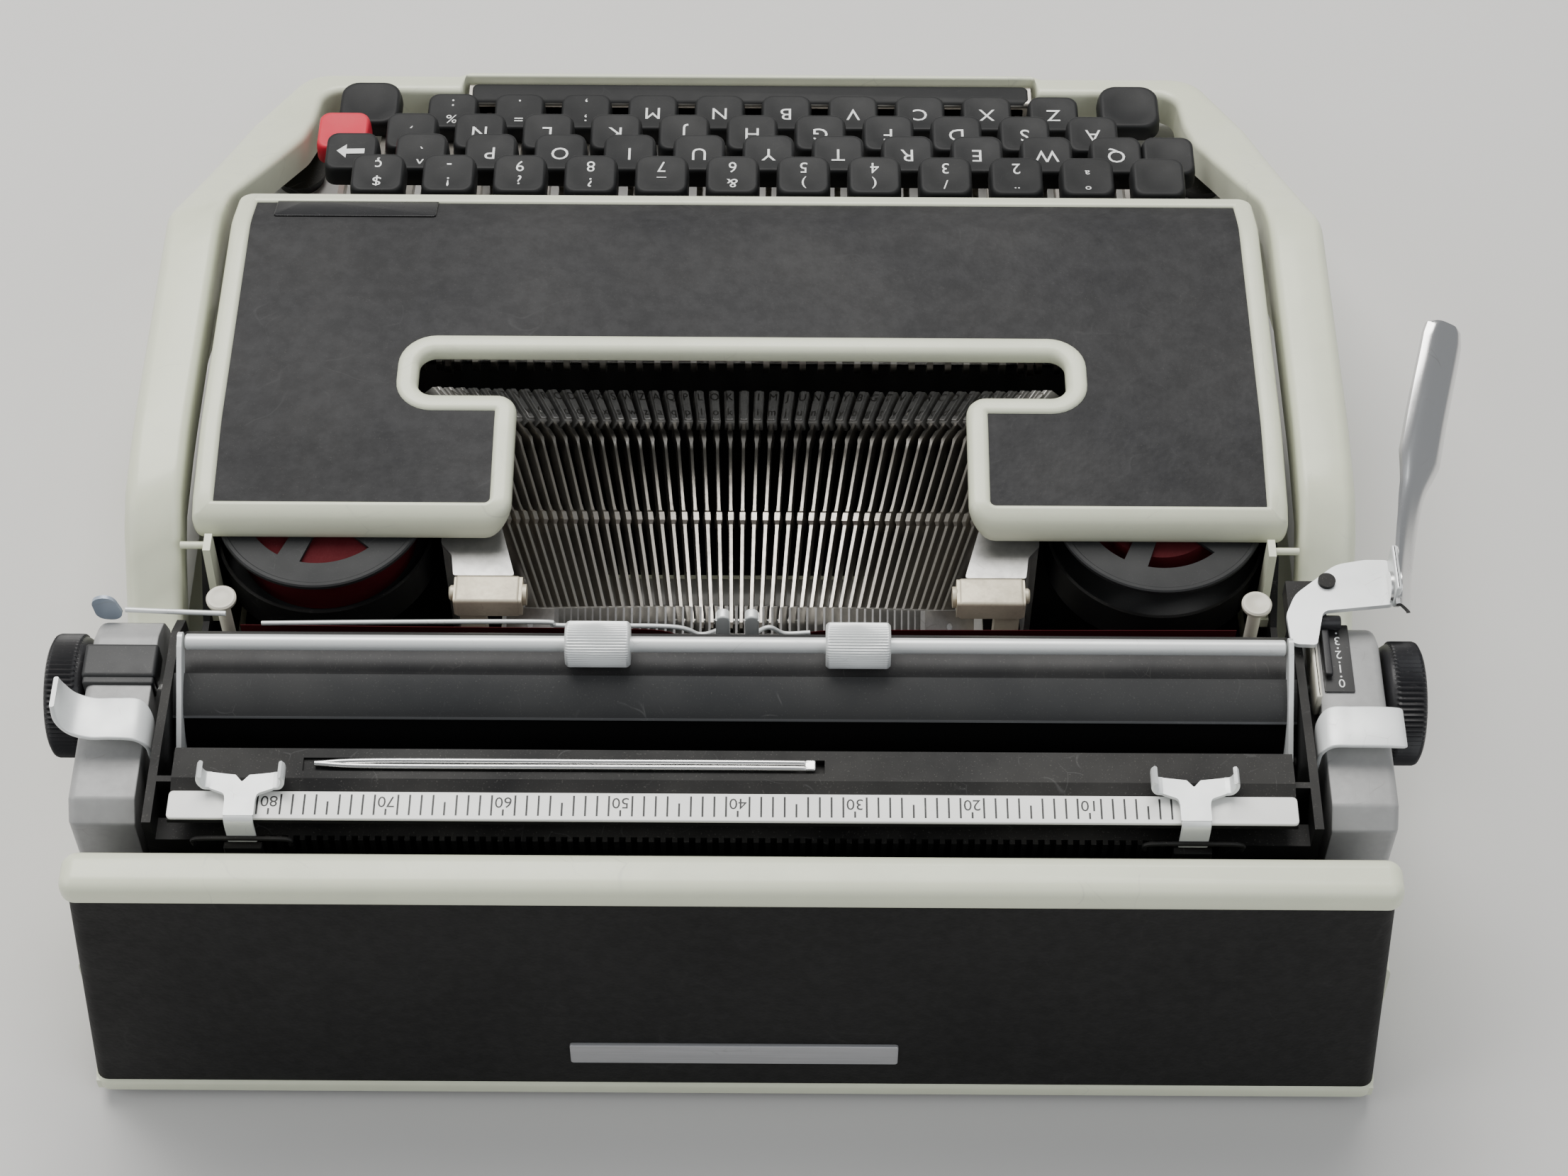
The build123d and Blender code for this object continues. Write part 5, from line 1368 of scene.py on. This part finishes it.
# ---- paper support wires in their groove
support = [tube(smooth_path([(-16.6, y, 88.3), (-10, y, 88.5), (30, y, 88.5), (78, y, 88.4),
                             (91.4, 124.1, 88.3)], 8),
                0.62, 12) for y in (123.4, 124.8)]
clip = prism(rectangle(-18.0, -15.6, 122.8, 125.4), 0.4, 87.7, 88.9, 0.2, 3, 1, 0.3)
piece("support_wires", *joined(support + [clip]), "paper_support_arm", "bright_steel", bright_steel,
      ["paper_support"], smooth=50)

# ---------------------------------------------------------------- type basket
TYPING = np.array([0.0, 77.0, 72.0])
DOWN = np.array([0.0, -40.0, -52.0]) / math.hypot(40.0, 52.0)
NORMAL = np.array([0.0, DOWN[2], -DOWN[1]])
FAN_RADIUS, FAN_ANGLE, BARS = math.hypot(40.0, 52.0), 49.0, 45
REST = math.radians(math.degrees(math.atan2(DOWN[2], DOWN[1])) % 360 - 169.3)


def bar_frame(angle):
    """A bar's foot, its outward direction in the fan and its thickness direction."""
    a = math.radians(angle)
    direction = np.array([math.sin(a), DOWN[1] * math.cos(a), DOWN[2] * math.cos(a)])
    return TYPING + direction * FAN_RADIUS, direction, np.cross(direction, NORMAL)


def placed_in_fan(points, angle):
    """(along, rise, thickness) in a bar's own axes, put into the machine at its place in the fan."""
    foot, direction, across_it = bar_frame(angle)
    splay = np.maximum(points[:, :1] - 50.0, 0.0)
    run = direction * math.cos(REST) + NORMAL * math.sin(REST)
    rise = NORMAL * math.cos(REST) - direction * math.sin(REST)
    lean = math.sin(math.radians(angle)) * 0.55
    return (foot + points[:, :1] * run + points[:, 1:2] * rise + points[:, 2:] * across_it
            + splay * np.array([lean, 0.12 * abs(lean), 0.0]))


def bar_stock():
    """One type bar: a flat arm of rounded section, swelling at its joint and knuckle, in six-sided rings."""
    along = np.array([-2.4, -1.2, 1.0, 4.0, 24.5, 26.5, 27.4, 29.6, 30.5, 32.5, 48.0, 50.0, 51.0, 53.4,
                      54.4, 56.0])
    tall = np.array([1.3, 2.2, 2.2, 1.75, 1.75, 1.8, 2.6, 2.6, 1.8, 1.6, 1.5, 1.55, 2.1, 2.1, 1.5, 1.45])
    thick = np.array([0.55, 0.55, 0.55, 0.55, 0.55, 0.6, 0.95, 0.95, 0.6, 0.5, 0.5, 0.5, 0.8, 0.8, 0.55,
                      0.55])
    ring = np.array([(-1.0, -0.7), (-0.7, -1.0), (0.7, -1.0), (1.0, -0.7), (1.0, 0.7), (0.7, 1.0),
                     (-0.7, 1.0), (-1.0, 0.7)])
    sections = np.stack([np.broadcast_to(along[:, None], (len(along), 8)), tall[:, None] * ring[:, 0],
                         thick[:, None] * ring[:, 1]], -1)
    return skin(sections[:, ::-1])


def slug_stock():
    """One type slug: a block with rounded edges whose face is a row of stepped, raised letters."""
    rows = []
    for level, shrink in ((-2.4, 0.16), (-2.1, 0.0), (1.9, 0.0), (2.15, 0.12), (2.2, 0.35), (2.95, 0.42),
                          (3.05, 0.55)):
        flat = outline(rectangle(-4.7, 4.7, -1.25, 1.25), 0.3, shrink, 2, 6)
        wave = 1.0 if level < 2.18 else 1 - 0.22 * (np.sin(flat[:, 0] * 2.1) > 0.55)
        rows.append(np.column_stack([flat[:, 0] + 60.6, np.full(len(flat), level), flat[:, 1] * wave]))
    points, faces = skin(rows)
    return points, [face[::-1] for face in faces]


fan = np.linspace(-FAN_ANGLE, FAN_ANGLE, BARS)
stock, stock_faces = bar_stock()
slug, slug_faces = slug_stock()
resting = [a for n, a in enumerate(fan) if n != BARS // 2]
piece("fan_bars", *joined([(placed_in_fan(stock, a), stock_faces) for a in resting]), "type_basket",
      "brushed_steel", bar_steel,
      ["type_bars"], smooth=35)
piece("fan_slugs", *joined([(placed_in_fan(slug, a), slug_faces) for a in resting]), "type_basket",
      "type_metal", type_metal,
      ["type_slugs"], smooth=30)
piece("centre_bar", placed_in_fan(stock, 0), stock_faces, "striking_bar", "brushed_steel", bar_steel,
      ["striking_type_bar"], smooth=35)
piece("centre_slug", placed_in_fan(slug, 0), slug_faces, "striking_bar", "type_metal", type_metal, smooth=30)


def slug_letters(which):
    """Small raised strokes across each slug's face, two characters to a slug, cut from plain letters."""
    marks = []
    for angle, word in which:
        for place, letter in ((58.4, word.lower()), (62.8, word)):
            flat, faces = text_faces(letter, 3.0)
            turned_letter = np.column_stack([place + flat[:, 1], np.full(len(flat), 3.12), flat[:, 0]])
            marks.append((placed_in_fan(turned_letter, angle), faces))
    return joined(marks)


letters = "QAZWSXEDCRFVTGBYHNUJMIKOLPQAZWSXEDCRFVTBYHNUJ"
piece("slug_faces", *slug_letters([(a, letters[n]) for n, a in enumerate(resting)]), "type_basket",
      "type_metal", bar_steel, smooth=None)

# ---------------------------------------------------------------- paper deflector
DEFLECTOR_HALF = corners("paper_deflector")[1][0]


def arc_sheet(inner, outer, start, end, half):
    """A thin sheet curved about the roller's axis between two angles, carried along its length."""
    arc = np.radians(np.linspace(start, end, 18))
    loop = [(PLATEN_Y + outer * math.cos(a), PLATEN_Z + outer * math.sin(a)) for a in arc]
    loop += [(PLATEN_Y + inner * math.cos(a), PLATEN_Z + inner * math.sin(a)) for a in arc[::-1]]
    sections = [[(x, y, z) for y, z in loop] for x in np.linspace(-half, half, 12)]
    return skin(sections)


piece("deflector_sheet", *arc_sheet(PLATEN_R + 1.2, PLATEN_R + 1.9, 41, 74, DEFLECTOR_HALF), "carriage",
      "black_steel", dark_steel,
      ["paper_deflector"], smooth=40)
# The edge strip in lighter metal is a painted highlight along the deflector's edge.
piece("deflector_edge", *arc_sheet(PLATEN_R + 1.1, PLATEN_R + 2.1, 39.5, 41.2, DEFLECTOR_HALF), "carriage",
      "black_steel",
      edge_highlight_steel, smooth=40)
# The apron round the roller's back is near-black: painted shadow in the gap below the deflector sheet.
piece("deflector_shadow_apron", *arc_sheet(PLATEN_R + 0.8, PLATEN_R + 1.2, -20, 40, DEFLECTOR_HALF), "carriage",
      "black_steel", painted_shade_black,
      smooth=40)


# ---------------------------------------------------------------- stage, light and camera
def lamp(title, place, target, size, power, colour=(1.0, 1.0, 1.0)):
    """A soft rectangular light that faces a target."""
    light = bpy.data.lights.new(title, "AREA")
    light.shape = "RECTANGLE"
    light.size, light.size_y = size
    light.energy = power
    light.color = colour
    item = bpy.data.objects.new(title, light)
    item.location = place
    item.rotation_euler = (Vector(target) - Vector(place)).to_track_quat("-Z", "Y").to_euler()
    bpy.context.scene.collection.objects.link(item)


floor_mesh = bpy.data.meshes.new("floor")
floor_reach = 4.0
floor_mesh.from_pydata([(-floor_reach, -floor_reach, 0), (floor_reach, -floor_reach, 0),
                        (floor_reach, floor_reach, 0), (-floor_reach, floor_reach, 0)], [], [(0, 1, 2, 3)])
floor = bpy.data.objects.new("floor", floor_mesh)
bpy.context.scene.collection.objects.link(floor)
floor_mesh.materials.append(finish("floor_paper", (0.62, 0.61, 0.59), 0.8, shade=(0.97, 0.3),
                                   scuff_and_glint=(0.0, (1, 1, 1)),
                                   dust=0.0, depth=0.01))

lamp("key_light", (0.25, -0.75, 1.5), (0, 0.02, 0.05), (1.5, 1.0), 42.0, (1.0, 0.985, 0.96))
lamp("fill_light", (-0.9, 0.9, 1.1), (0, 0.05, 0.05), (1.2, 1.2), 9.0, (0.94, 0.97, 1.0))
lamp("side_light", (1.2, 0.3, 0.8), (0, 0.05, 0.05), (1.0, 1.0), 6.0)
world = bpy.data.worlds.new("studio")
world.use_nodes = True
world.node_tree.nodes["Background"].inputs["Color"].default_value = (0.86, 0.89, 0.93, 1.0)
world.node_tree.nodes["Background"].inputs["Strength"].default_value = 0.36
bpy.context.scene.world = world

LENS, SENSOR = 71.61, 36.0
CAMERA_PLACE = Vector((-0.00545, 0.49285, 0.662))
pitch, yaw, roll = (math.radians(a) for a in (54.0, 0.096, -0.256))
ahead = Vector((math.sin(yaw) * math.cos(pitch), -math.cos(yaw) * math.cos(pitch), -math.sin(pitch)))
level = ahead.cross(Vector((0, 0, 1))).normalized()
downward = ahead.cross(level)
right = level * math.cos(roll) + downward * math.sin(roll)
up = level * math.sin(roll) - downward * math.cos(roll)
camera_data = bpy.data.cameras.new("camera")
camera_data.lens, camera_data.sensor_width = LENS, SENSOR
camera_data.clip_start = 0.02
camera = bpy.data.objects.new("camera", camera_data)
camera.matrix_world = Matrix((
    (right.x, up.x, -ahead.x, CAMERA_PLACE.x), (right.y, up.y, -ahead.y, CAMERA_PLACE.y),
    (right.z, up.z, -ahead.z, CAMERA_PLACE.z), (0, 0, 0, 1)))
bpy.context.scene.collection.objects.link(camera)
bpy.context.scene.camera = camera
